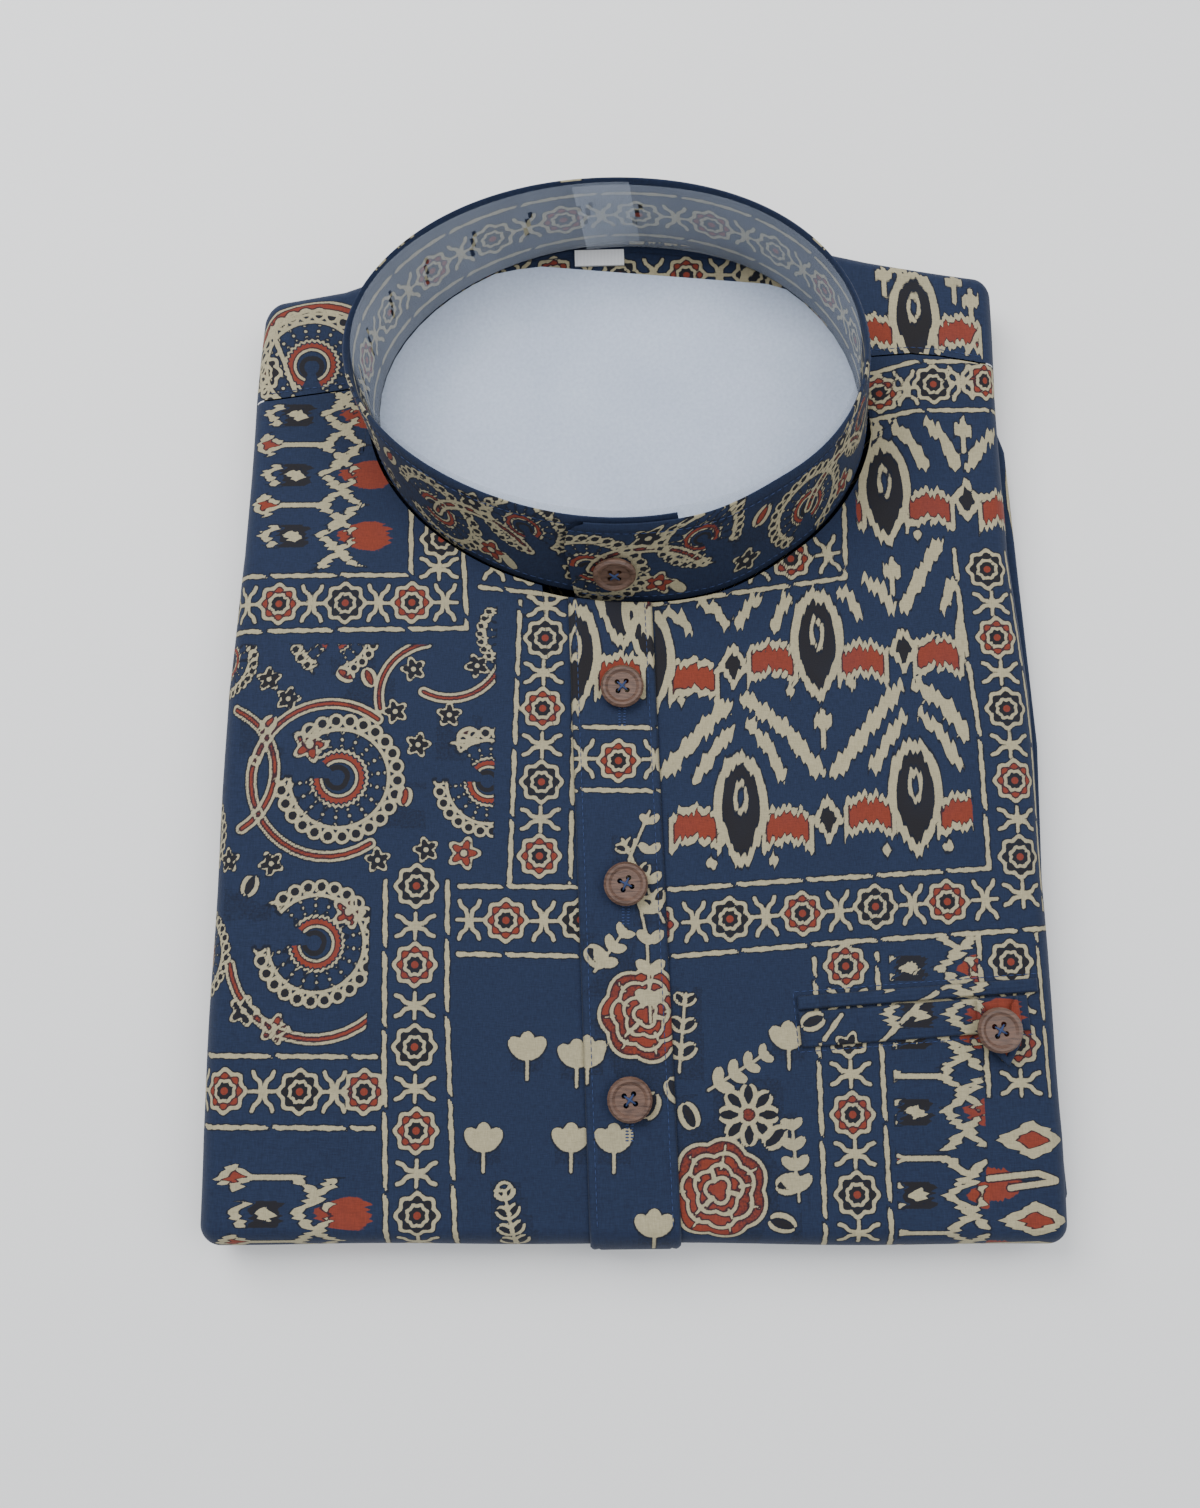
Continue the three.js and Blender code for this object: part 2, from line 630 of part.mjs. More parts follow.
const kurta = new THREE.Group();
kurta.name = 'kurta';
kurta.add(
  foldedLayers(),
  front(-1, 'front_right', SEAM_RIGHT, SEAM_RIGHT_ANGLE),
  front(1, 'front_left', SEAM_LEFT, SEAM_LEFT_ANGLE),
  yoke(),
  lining,
  sleeve(),
  placket(),
  collarBand(),
  supportStrip(),
  paper,
  label(),
  weltPiece('pocket_welt_upper', 0, 69.0, POCKET.mouth + 0.3, POCKET.height, GAP, WELT_WALL),
  weltPiece('pocket_welt_lower', 0, POCKET.length, 0, POCKET.mouth - 0.3, GAP, WELT_WALL),
  pocketLoop(),
  buttons(),
);

export default kurta;
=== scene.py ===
import math

import bpy
import numpy as np
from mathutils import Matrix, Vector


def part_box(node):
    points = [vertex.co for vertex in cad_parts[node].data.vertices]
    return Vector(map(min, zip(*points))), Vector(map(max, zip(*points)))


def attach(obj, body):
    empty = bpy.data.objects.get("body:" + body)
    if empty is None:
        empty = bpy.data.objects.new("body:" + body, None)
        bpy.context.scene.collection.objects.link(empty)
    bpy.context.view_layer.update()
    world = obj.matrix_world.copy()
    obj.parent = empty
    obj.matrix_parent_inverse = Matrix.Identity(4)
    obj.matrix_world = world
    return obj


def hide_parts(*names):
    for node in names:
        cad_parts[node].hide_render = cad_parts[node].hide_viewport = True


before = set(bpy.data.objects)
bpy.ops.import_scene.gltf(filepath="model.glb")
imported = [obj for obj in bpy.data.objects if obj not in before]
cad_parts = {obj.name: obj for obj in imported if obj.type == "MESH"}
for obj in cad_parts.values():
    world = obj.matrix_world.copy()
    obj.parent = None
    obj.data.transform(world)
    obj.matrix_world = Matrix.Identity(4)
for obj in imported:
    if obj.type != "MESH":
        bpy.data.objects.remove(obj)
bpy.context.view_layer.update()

# Camera: it looks down on the folded kurta, tipped a little towards the collar. Nothing is shifted,
# and nothing is out of focus.
camera_data = bpy.data.cameras.new("camera")
camera_data.sensor_width = 36
camera_data.lens = 31.03
camera = bpy.data.objects.new("camera", camera_data)
camera.location = (-0.0104, -0.08055, 0.397)
camera.rotation_euler = (math.radians(9.9), 0, 0)
bpy.context.scene.collection.objects.link(camera)
bpy.context.scene.camera = camera

# Studio: a plain pale floor under an even, slightly cool sky, with two soft lamps, one behind the
# collar and one at the wearer's left.
bpy.ops.object.select_all(action="DESELECT")
bpy.ops.mesh.primitive_plane_add(size=4, location=(0, 0, -0.0002))
floor = bpy.context.object
floor.name = "floor"
floor_paint = bpy.data.materials.new("floor_paint")
floor_paint.use_nodes = True
floor_paint.node_tree.nodes["Principled BSDF"].inputs["Base Color"].default_value = (0.9, 0.9, 0.9, 1)
floor_paint.node_tree.nodes["Principled BSDF"].inputs["Roughness"].default_value = 0.9
floor.data.materials.append(floor_paint)

world = bpy.data.worlds.new("studio")
world.use_nodes = True
world.node_tree.nodes["Background"].inputs["Color"].default_value = (0.93, 0.96, 1, 1)
world.node_tree.nodes["Background"].inputs["Strength"].default_value = 0.75
bpy.context.scene.world = world
for place, turn, power, size in (
    ((-0.5, 0.5, 0.9), (-0.55, -0.5, 0), 11, 0.7),
    ((0.6, 0.1, 1.0), (-0.1, 0.55, 0), 6, 0.9),
):
    bpy.ops.object.light_add(type="AREA", location=place, rotation=turn)
    bpy.context.object.data.energy = power
    bpy.context.object.data.size = size


# Fronts: two halves of one panel of printed cotton, slit for the placket and folded under at the side
# and the foot. Lengths in the making of the cloth are in millimetres, on the flat top of the pile.
MM = 0.001
SPACING = 0.62
PILE, CROWN, WAIST, FOLD_REACH, FOLD_ARC = 20.0, 0.8, 10.1, 6.0, 8.0
FOOT = -153.75
FOOT_BEND = FOOT + FOLD_REACH
SIDE_Y = (-153.75, -124, -80, 5, 22, 48, 99, 140)
SIDE_LEFT = (-123.0, -123.7, -123.6, -123.2, -121.9, -120.0, -118.4, -116.0)
SIDE_RIGHT = (121.4, 121.6, 120.4, 119.4, 118.2, 115.4, 114.4, 114.2)
HEAD_X = (-118, -91, -55, -10, 40, 74, 115)
HEAD_Y = (130.5, 136.0, 150.0, 155.6, 153.5, 146.4, 139.6)
SEAM_RIGHT = ((-112.4, 96.4), (-102, 97.9), (-91, 99.5), (-81, 101.0))
SEAM_LEFT = ((108.3, 108.9), (95, 111.2), (86, 111.8), (70.6, 110.4))
SEAM_RIGHT_ANGLE, SEAM_LEFT_ANGLE = -1.71, 1.845
NECK_X, NECK_Y, NECK_A, NECK_B, EGG = -4.2, 93.1, 75.8, 57.9, 0.05
LAP = 1.9
FRONT_WIDTH, FRONT_LENGTH = 131, 262


def mix(low, high, share):
    return low + (high - low) * share


def share(value, low, high):
    return np.clip((value - low) / (high - low), 0, 1)


def ease(t):
    return t * t * (3 - 2 * t)


def ripple(p, q):
    """Soft unevenness of the pressed cloth: a few long, low creases and dents."""
    waves = 0.22 * np.sin(p * 0.071 + q * 0.023 + 1.0) + 0.16 * np.sin(q * 0.093 - p * 0.031)
    crease = 0.32 * np.exp(-((p - 84 + 0.12 * (q + 40)) / 4.0) ** 2) * np.exp(-((q + 10) / 60) ** 2)
    dent = -0.35 * np.exp(-((p + 62 + 0.3 * q) / 5.0) ** 2) * np.exp(-((q - 20) / 45) ** 2)
    return waves + crease + dent


def cloth(p, q, depth):
    """Place of a point of the outer cloth: past the start of a fold, p and q are lengths round it."""
    left = np.interp(q, SIDE_Y, SIDE_LEFT) + FOLD_REACH
    right = np.interp(q, SIDE_Y, SIDE_RIGHT) - FOLD_REACH
    head = np.interp(p, HEAD_X, HEAD_Y) - FOLD_REACH
    across = np.where(p < left, p - left, np.maximum(0, p - right))
    down = np.where(q < FOOT_BEND, q - FOOT_BEND, np.maximum(0, q - head))
    reach = np.hypot(across, down)
    turn = np.minimum(math.pi, reach / FOLD_ARC)
    depth = depth - ripple(p, q)
    out = (FOLD_REACH - depth) * np.sin(turn) / np.maximum(reach, 1e-9)
    flat_x, flat_y = p - across, q - down
    top = PILE - CROWN * np.minimum(1, (flat_x / 120) ** 4 + (flat_y / 160) ** 4)
    rise = np.where(turn < math.pi / 2, top - WAIST, WAIST - 0.2) - depth
    return np.stack([flat_x + across * out, flat_y + down * out, WAIST + rise * np.cos(turn)], -1)


def neck_point(angle, offset):
    b = (NECK_B + offset) * (1 + EGG * np.sin(angle))
    return NECK_X + (NECK_A + offset) * np.sin(angle), NECK_Y - b * np.cos(angle)


def lap_at(angle):
    return LAP * (1 - ease(share(angle, 0.33, 0.75)))


def neck_ease(angle):
    back = np.maximum(0, -np.cos(angle)) ** 4
    return lap_at(np.where(angle < -0.3, 1, angle)) + 2.0 + 1.1 * back


def opening_x(y):
    return mix(-0.5, -7.4, share(y, FOOT, 35))


class Dye:
    """The block print on a stretch of cloth: how far each point lies inside the cream, the red and the
    black, in millimetres. Every figure is drawn by its formula, about a place and a turn of its own."""

    def __init__(self, p, q):
        self.p, self.q = p.ravel(), q.ravel()
        self.depth = np.full((self.p.size, 3), -9.0)
        self.window = None

    def patch(self, left=None, low=None, right=None, high=None):
        """Keeps the next figures inside a box of the cloth."""
        if left is None:
            self.window = None
            return
        inside = np.minimum(self.p - left, right - self.p)
        self.window = np.minimum(inside, np.minimum(self.q - low, high - self.q))

    def at(self, x, y, reach, turn=0.0, size=1.0):
        """The points near a figure's middle, and their places across and along it."""
        near = np.flatnonzero((abs(self.p - x) < reach * size) & (abs(self.q - y) < reach * size))
        if self.window is not None:
            near = near[self.window[near] > -1]
        a, b = (self.p[near] - x) / size, (self.q[near] - y) / size
        c, s = math.cos(turn), math.sin(turn)
        return near, a * c + b * s, b * c - a * s

    def add(self, near, cream=None, red=None, black=None):
        """Draws a figure's three fields over what is there."""
        for column, field in enumerate((cream, red, black)):
            if field is not None:
                held = field if self.window is None else np.minimum(field, self.window[near])
                self.depth[near, column] = np.maximum(self.depth[near, column], held)


def stroke(u, v, points, width):
    best = np.full(u.shape, 99.0)
    for (x0, y0), (x1, y1) in zip(points[:-1], points[1:]):
        length = (x1 - x0) ** 2 + (y1 - y0) ** 2 + 1e-9
        t = np.clip(((u - x0) * (x1 - x0) + (v - y0) * (y1 - y0)) / length, 0, 1)
        best = np.minimum(best, np.hypot(u - x0 - t * (x1 - x0), v - y0 - t * (y1 - y0)))
    return width / 2 - best


def oval(u, v, a, b):
    return (1 - np.hypot(u / a, v / b)) * min(a, b)


def line(dye, points, width=1.25):
    xs, ys = [x for x, y in points], [y for x, y in points]
    x, y = (min(xs) + max(xs)) / 2, (min(ys) + max(ys)) / 2
    reach = max(max(xs) - min(xs), max(ys) - min(ys)) / 2 + 3
    near, u, v = dye.at(x, y, reach)
    shaky = 0.12 * np.sin(u * 0.9 + v * 0.7) + 0.08 * np.sin(u * 2.3 - v * 1.9)
    broken = 1.2 * np.maximum(0, np.sin((u + v + x) * 0.29) - 0.97) * 33
    dye.add(near, cream=stroke(u, v, [(a - x, b - y) for a, b in points], width) + shaky - broken)


def rosette(dye, x, y, body, turn=0.0, size=1.0):
    near, u, v = dye.at(x, y, 8, turn, size)
    r, angle = np.hypot(u, v), np.arctan2(v, u)
    edge = 5.5 + 0.5 * np.cos(8 * angle)
    inner = 2.8 + 0.25 * np.cos(8 * angle + 3.1)
    cream = np.maximum(0.6 - abs(r - edge), 0.5 - abs(r - inner))
    petals = np.minimum(edge - r, r - inner)
    notch = 0.25 - r * abs(np.sin(4 * angle)) * 0.25
    full = np.minimum(petals, 3.0 - 8 * np.maximum(0, notch) * 0.3)
    centre = 1.15 - r
    dark = np.minimum(r - 1.1, inner - r)
    if body == "red":
        dye.add(near, cream=cream, red=np.maximum(full, centre), black=dark)
    else:
        dye.add(near, cream=cream, red=centre, black=np.maximum(full, dark))


def crosslet(dye, x, y, turn=0.0, size=1.0):
    near, u, v = dye.at(x, y, 8, turn, size)
    u, v = abs(u), abs(v)
    arm = stroke(u, v, [(0.6, 1.2), (1.0, 2.8), (2.4, 3.9), (2.9, 5.4)], 1.15)
    bar = stroke(u, v, [(0, 0), (3.6, 0)], 1.0)
    waist = stroke(u, v, [(0.6, 0), (0.6, 1.4)], 1.1)
    dye.add(near, cream=np.maximum(np.maximum(arm, bar), waist))


def strip(dye, flowers, crosses, turn=0.0):
    for x, y, body in flowers:
        rosette(dye, x, y, body)
    for x, y in crosses:
        crosslet(dye, x, y, turn)


def saw(place, period):
    """Stepped, toothed edge of ikat, where the tied threads have slipped past each other."""
    step = place / period
    tooth = abs(step - np.floor(step) - 0.5) * 2
    return (tooth - 0.5) * 2.2 + 0.9 * np.sin(np.floor(step) * 2.4)


def ikat_stroke(dye, start, end, width):
    x, y = (start[0] + end[0]) / 2, (start[1] + end[1]) / 2
    near, u, v = dye.at(x, y, max(abs(end[0] - x), abs(end[1] - y)) + 5)
    v = v + saw(u + x, 1.9)
    bow = [(start[0] - x, start[1] - y), ((end[0] - start[0]) * 0.06, 1.6), (end[0] - x, end[1] - y)]
    dye.add(near, cream=stroke(u, v, bow, width))


def palmette(dye, x, y, wings=(1, -1)):
    near, u, v = dye.at(x, y, 26)
    v = v + 0.8 * saw(u + x, 1.7)
    taper = 1 - 0.35 * share(-v, 2, 14)
    black = np.minimum(oval(u / taper, v, 5.6, 13.5), -oval(u, v - 3.5, 2.2, 5.2))
    cream = np.minimum(oval(u / taper, v, 8.0, 17.0), -oval(u / taper, v, 5.6, 13.5))
    eye = np.minimum(oval(u, v - 3.5, 2.2, 5.2), -oval(u, v - 3.5, 1.1, 3.2))
    dye.add(near, cream=np.maximum(cream, eye), black=black)
    for side in wings:
        a = u * side - 13.5
        bow = v + 4.2 + 0.055 * a * a
        red = np.minimum(3.4 - abs(bow), 6.4 - abs(a))
        whole = np.minimum(5.6 - abs(bow), 7.6 - abs(a))
        outside = -oval(u / taper, v, 8.0, 17.0)
        dye.add(near, cream=np.minimum(np.minimum(whole, -red), outside), red=np.minimum(red, outside))


def ikat_diamond(dye, x, y, core="black"):
    near, u, v = dye.at(x, y, 10)
    v = v + 0.6 * saw(u + x, 1.5)
    whole = 4.6 - abs(u) - 0.62 * abs(v)
    inner = 2.7 - abs(u) - 0.62 * abs(v)
    dye.add(near, cream=np.minimum(whole, -inner), **{core: inner})


def ikat_arrow(dye, x, y):
    near, u, v = dye.at(x, y, 9)
    v = v + 0.5 * saw(u + x, 1.3)
    head = np.minimum(2.6 - abs(u), 2.0 - abs(v - 2))
    shaft = np.minimum(0.7 - abs(u), 6 - abs(v))
    dye.add(near, cream=np.maximum(head, shaft))


def ikat_column(dye, x, y, face=1):
    """One repeat of the sideways ikat: spot, diamond, line, feathered zigzag and drop."""
    near, u, v = dye.at(x, y, 30)
    u = u * face + saw(v + y, 1.5) * 0.9
    spot = np.minimum(4.2 - abs(u + 12), 3.6 - abs(v))
    star = 2.2 - abs(u + 12) * 0.7 - abs(v)
    zigzag = 1.0 - abs(abs(v) * 1.15 - (u + 3.5)) * 0.62
    zigzag = np.minimum(np.minimum(zigzag, 9.6 - abs(v)), 11.5 - u)
    back = 1.0 - abs((9.8 - abs(v)) * 1.15 - (u + 3.5)) * 0.62
    back = np.minimum(back, np.minimum(10.4 - abs(v), 6 - u))
    drop = oval((u - 9.5) / 1.2, v * (1.25 - 0.04 * u), 6.5, 3.8)
    mark = np.minimum(1.0 - abs(abs(v) * 0.9 - (u + 21)) * 0.7, 3.5 - abs(v))
    bar = np.minimum(0.7 - abs(v - 9.9), 6.5 - abs(u + 10))
    cream = np.maximum(np.maximum(star, zigzag), np.maximum(mark, np.maximum(bar, back)))
    gem = 4.0 - abs(u + 21) * 0.7 - abs(v - 9.9)
    dye.add(near, cream=np.maximum(cream, np.minimum(gem, 1.9 - gem)), red=np.maximum(drop, gem - 1.8),
            black=np.minimum(spot, -star))


def little_flower(dye, x, y, body="black", size=1.0, turn=0.0):
    near, u, v = dye.at(x, y, 7, turn, size)
    r, angle = np.hypot(u, v), np.arctan2(v, u)
    edge = 3.3 + 0.9 * np.cos(5 * angle)
    dye.add(near, cream=np.maximum(0.45 - abs(r - edge), 0.9 - r), **{body: edge - r})


def leaf(dye, x, y, turn, size=1.0, body=None):
    near, u, v = dye.at(x, y, 7, turn, size)
    shape = 1.7 * np.sqrt(np.clip(1 - ((u - 2.6) / 2.9) ** 2, 0, 1)) - abs(v)
    shape = np.where(abs(u - 2.6) < 2.9, shape, -1.0)
    if body is None:
        dye.add(near, cream=shape)
    else:
        dye.add(near, cream=np.minimum(shape + 0.55, 0.55 - shape), **{body: shape - 0.3})


def vine(dye, points, width=0.9, body="cream"):
    xs, ys = [x for x, y in points], [y for x, y in points]
    x, y = (min(xs) + max(xs)) / 2, (min(ys) + max(ys)) / 2
    near, u, v = dye.at(x, y, max(max(xs) - min(xs), max(ys) - min(ys)) / 2 + 4)
    field = stroke(u, v, [(a - x, b - y) for a, b in points], width)
    if body == "cream":
        dye.add(near, cream=field)
    else:
        dye.add(near, cream=0.4 - abs(field + 0.4), **{body: field})


def arc(x, y, radius, start, end, steps=14):
    turns = [mix(start, end, i / steps) for i in range(steps + 1)]
    return [(x + radius * math.cos(turn), y + radius * math.sin(turn)) for turn in turns]


def spray(dye, points, count, size=1.0, body=None):
    """A stem with pairs of leaves."""
    vine(dye, points, 0.8)
    (x0, y0), (x1, y1) = points[0], points[-1]
    heading = math.atan2(y1 - y0, x1 - x0)
    for i in range(count):
        t = (i + 0.6) / count
        for side in (1, -1):
            leaf(dye, mix(x0, x1, t), mix(y0, y1, t), heading + side * 0.85, size * (1.1 - 0.4 * t), body)


def tulip(dye, x, y, size=1.0):
    for turn in (0.85, 1.57, 2.3):
        leaf(dye, x, y, turn, 1.35 * size)
    leaf(dye, x, y + 0.8, 1.57, 0.7 * size, "red")
    vine(dye, [(x, y), (x, y - 6 * size)], 0.9)


def daisy(dye, x, y, size=1.0):
    for i in range(8):
        turn = i * math.pi / 4
        out = 2.2 * size
        leaf(dye, x + out * math.cos(turn), y + out * math.sin(turn), turn, 1.15 * size, "black")
    near, u, v = dye.at(x, y, 4)
    dye.add(near, cream=0.5 - abs(np.hypot(u, v) - 2.4), red=2.2 - np.hypot(u, v))


def rose(dye, x, y, size=1.0):
    """A full rose: rings of rounded petals, each with a cream edge, round a curled heart."""
    near, u, v = dye.at(x, y, 17, 0, size)
    r, angle = np.hypot(u, v), np.arctan2(v, u)
    whole = 12.5 + 1.5 * abs(np.sin(3.5 * angle)) - r
    cream = 0.5 - abs(whole)
    for ring, count, shift in ((9.0, 7, 0.4), (5.6, 5, 1.1), (2.4, 3, 0.2)):
        wave = ring + 1.3 * abs(np.sin(count * angle / 2 + shift))
        cream = np.maximum(cream, 0.5 - abs(r - wave))
        spoke = 0.45 - abs(np.sin((angle + shift) * count / 2)) * r * 0.5
        cream = np.maximum(cream, np.minimum(spoke, np.minimum(r - ring, ring + 3.4 - r)))
    dye.add(near, cream=cream, red=whole)


def crescent(dye, x, y, turn=0.0, size=1.0):
    """Paisley medallion: a ring of black beads, cream line, dots and red teeth about a dark curl."""
    near, u, v = dye.at(x, y, 22, turn, size)
    r, angle = np.hypot(u, v), np.arctan2(v, u)
    gap = 2.75 - abs(angle)
    bead_angle = (angle * 26 / (2 * math.pi)) % 1 - 0.5
    bead = 1.75 - np.hypot(r - 17.2, bead_angle * 2 * math.pi * 17.2 / 26)
    teeth = 6.9 + 1.6 * abs((angle * 15 / math.pi) % 1 - 0.5)
    dots = 0.5 - np.hypot((r % 2.1) - 1.05, ((angle * 9 / math.pi) % 1 - 0.5) * r * math.pi / 9)
    dots = np.minimum(dots, np.minimum(r - 9.5, 13.6 - r))
    cream = np.maximum(0.5 - abs(r - 14.6), 0.45 - abs(bead))
    for part in (dots, 0.4 - abs(r - 5.2), 0.4 - abs(r - teeth - 0.9)):
        cream = np.maximum(cream, part)
    swirl = 0.8 - abs(r - 2.2 - 0.55 * abs(angle))
    dye.add(near, cream=np.minimum(cream, gap * 6), red=np.minimum(np.minimum(teeth - r, r - 5.4), gap * 6),
            black=np.minimum(np.maximum(bead, swirl), gap * 6))


def print_right(dye):
    """The wearer's right front: strips of rosettes between patches of ikat, paisley and plain navy."""
    dye.patch(-140, 40.6, -67.8, 130)
    for y in (91.5, 72, 52.4, 111):
        ikat_column(dye, -91.5, y)
    dye.patch()
    strip(dye, ((-107, 31.2, "red"), (-87, 31.4, "black"), (-67, 31.6, "red"), (-58.5, 51.5, "black"),
                (-127, 31, "black")), ((-117, 31), (-97, 31.2), (-77, 31.4), (-57, 31.6)))
    strip(dye, (), ((-59, 42.4), (-59.5, 61)), math.pi / 2)
    line(dye, [(-132, 39.6), (-67.5, 40.2), (-68, 68)])
    line(dye, [(-132, 22.4), (-50.3, 23.6), (-52, 50)])
    dye.patch(-140, -50.5, -41.5, 18.5)
    for x, y, turn, size in ((-87, -22, -0.4, 1.0), (-43, -23, -0.4, 0.85), (-90, 22, 1.5, 0.72),
                             (-124, 14, 0.5, 0.6), (-134, -38, 0.3, 0.7)):
        crescent(dye, x, y, turn, size)
    vine(dye, arc(-90, -22, 23, 2.9, 5.3), 1.6, "red")
    vine(dye, arc(-90, -22, 22.5, 2.9, 0.9), 1.6, "red")
    vine(dye, arc(-60, 3, 16, 3.4, 1.7), 1.4, "red")
    vine(dye, arc(-126, -20, 20, 1.2, -1.0), 1.6, "red")
    vine(dye, arc(-55, 18, 16, 4.2, 6.1), 1.4, "red")
    for x, y in ((-109, 8), (-66, 11), (-71, -2), (-55, -3), (-64, -12), (-75, -46), (-61, -43),
                 (-106, -47), (-103, 2), (-47, 12), (-119, -46)):
        little_flower(dye, x, y, "black", 0.85, x)
    little_flower(dye, -96, -12, "red", 1.2)
    little_flower(dye, -50, -44, "red", 1.1)
    for x, y, turn in ((-110, -8, 1.0), (-78, 6, 2.0), (-52, -10, 0.4), (-68, -30, 1.4), (-84, 8, 2.6)):
        leaf(dye, x, y, turn, 1.0, "red")
    dye.patch(-48.8, 13, -41.5, 30)
    crescent(dye, -36, 22, 2.8, 0.6)
    dye.patch()
    strip(dye, ((-31.5, 43.4, "red"), (-12, 43, "black")), ((-42, 44.2), (-21.5, 42.6)), -0.08)
    line(dye, [(-46.5, 36.4), (-20, 33.4), (-4, 32)])
    strip(dye, ((-26.8, 20.5, "black"), (-27.4, -1, "red"), (-27.6, -23, "black"), (-28, -44.8, "red")),
          ((-26.5, 30.4), (-27.2, 9.8), (-27.5, -12), (-27.8, -34)), math.pi / 2)
    line(dye, [(-34.4, 32), (-36.6, -52.4)])
    line(dye, [(-17.6, 30), (-19, -52.4)])
    strip(dye, ((-37.5, -63.4, "red"), (-16, -63.2, "black")), ((-48, -63.2), (-26.6, -63.6)))
    line(dye, [(-51, -53.6), (-12, -53.8)])
    line(dye, [(-51, -73), (-12, -73.6)])
    strip(dye, ((-63.5, -53.5, "black"), (-63.4, -76, "red"), (-63, -99, "black"), (-62, -122, "red"),
                (-61.2, -144.8, "black")),
          ((-63.5, -65), (-63.2, -87.5), (-62.6, -110.5), (-61.6, -133.5), (-61, -155)), math.pi / 2)
    line(dye, [(-72.5, -52), (-71.5, -104), (-69.4, -160)])
    line(dye, [(-54.5, -52), (-54, -88), (-50, -160)])
    dye.patch(-140, -98.5, -76.8, -50.5)
    crescent(dye, -92, -70, -0.3, 0.95)
    crescent(dye, -130, -73, -0.2, 0.7)
    vine(dye, arc(-92, -72, 25, 3.3, 5.6), 1.6, "red")
    little_flower(dye, -83, -61, "red", 1.1)
    little_flower(dye, -112, -89, "black")
    little_flower(dye, -103, -94, "red")
    leaf(dye, -113, -56, 1.2, 1.1, "black")
    dye.patch()
    strip(dye, ((-116.5, -111.2, "red"), (-95.2, -111.4, "black"), (-77, -111.4, "red")),
          ((-105.6, -111.3), (-85.4, -111.4), (-126, -111)))
    line(dye, [(-132, -101.4), (-74, -101.8)])
    line(dye, [(-132, -121), (-74, -121.4)])
    dye.patch(-140, -180, -73.5, -124.5)
    for y in (-144.5, -164):
        ikat_column(dye, -91.5, y)
    dye.patch()
    for x, y in ((-31, -102), (-43, -127), (-18.5, -127), (-17, -104), (-29, -166)):
        tulip(dye, x, y)
    spray(dye, [(-33, -158), (-37, -138)], 4, 0.9, "black")
    vine(dye, arc(-37, -138, 2.2, 0, 6.3), 0.8)


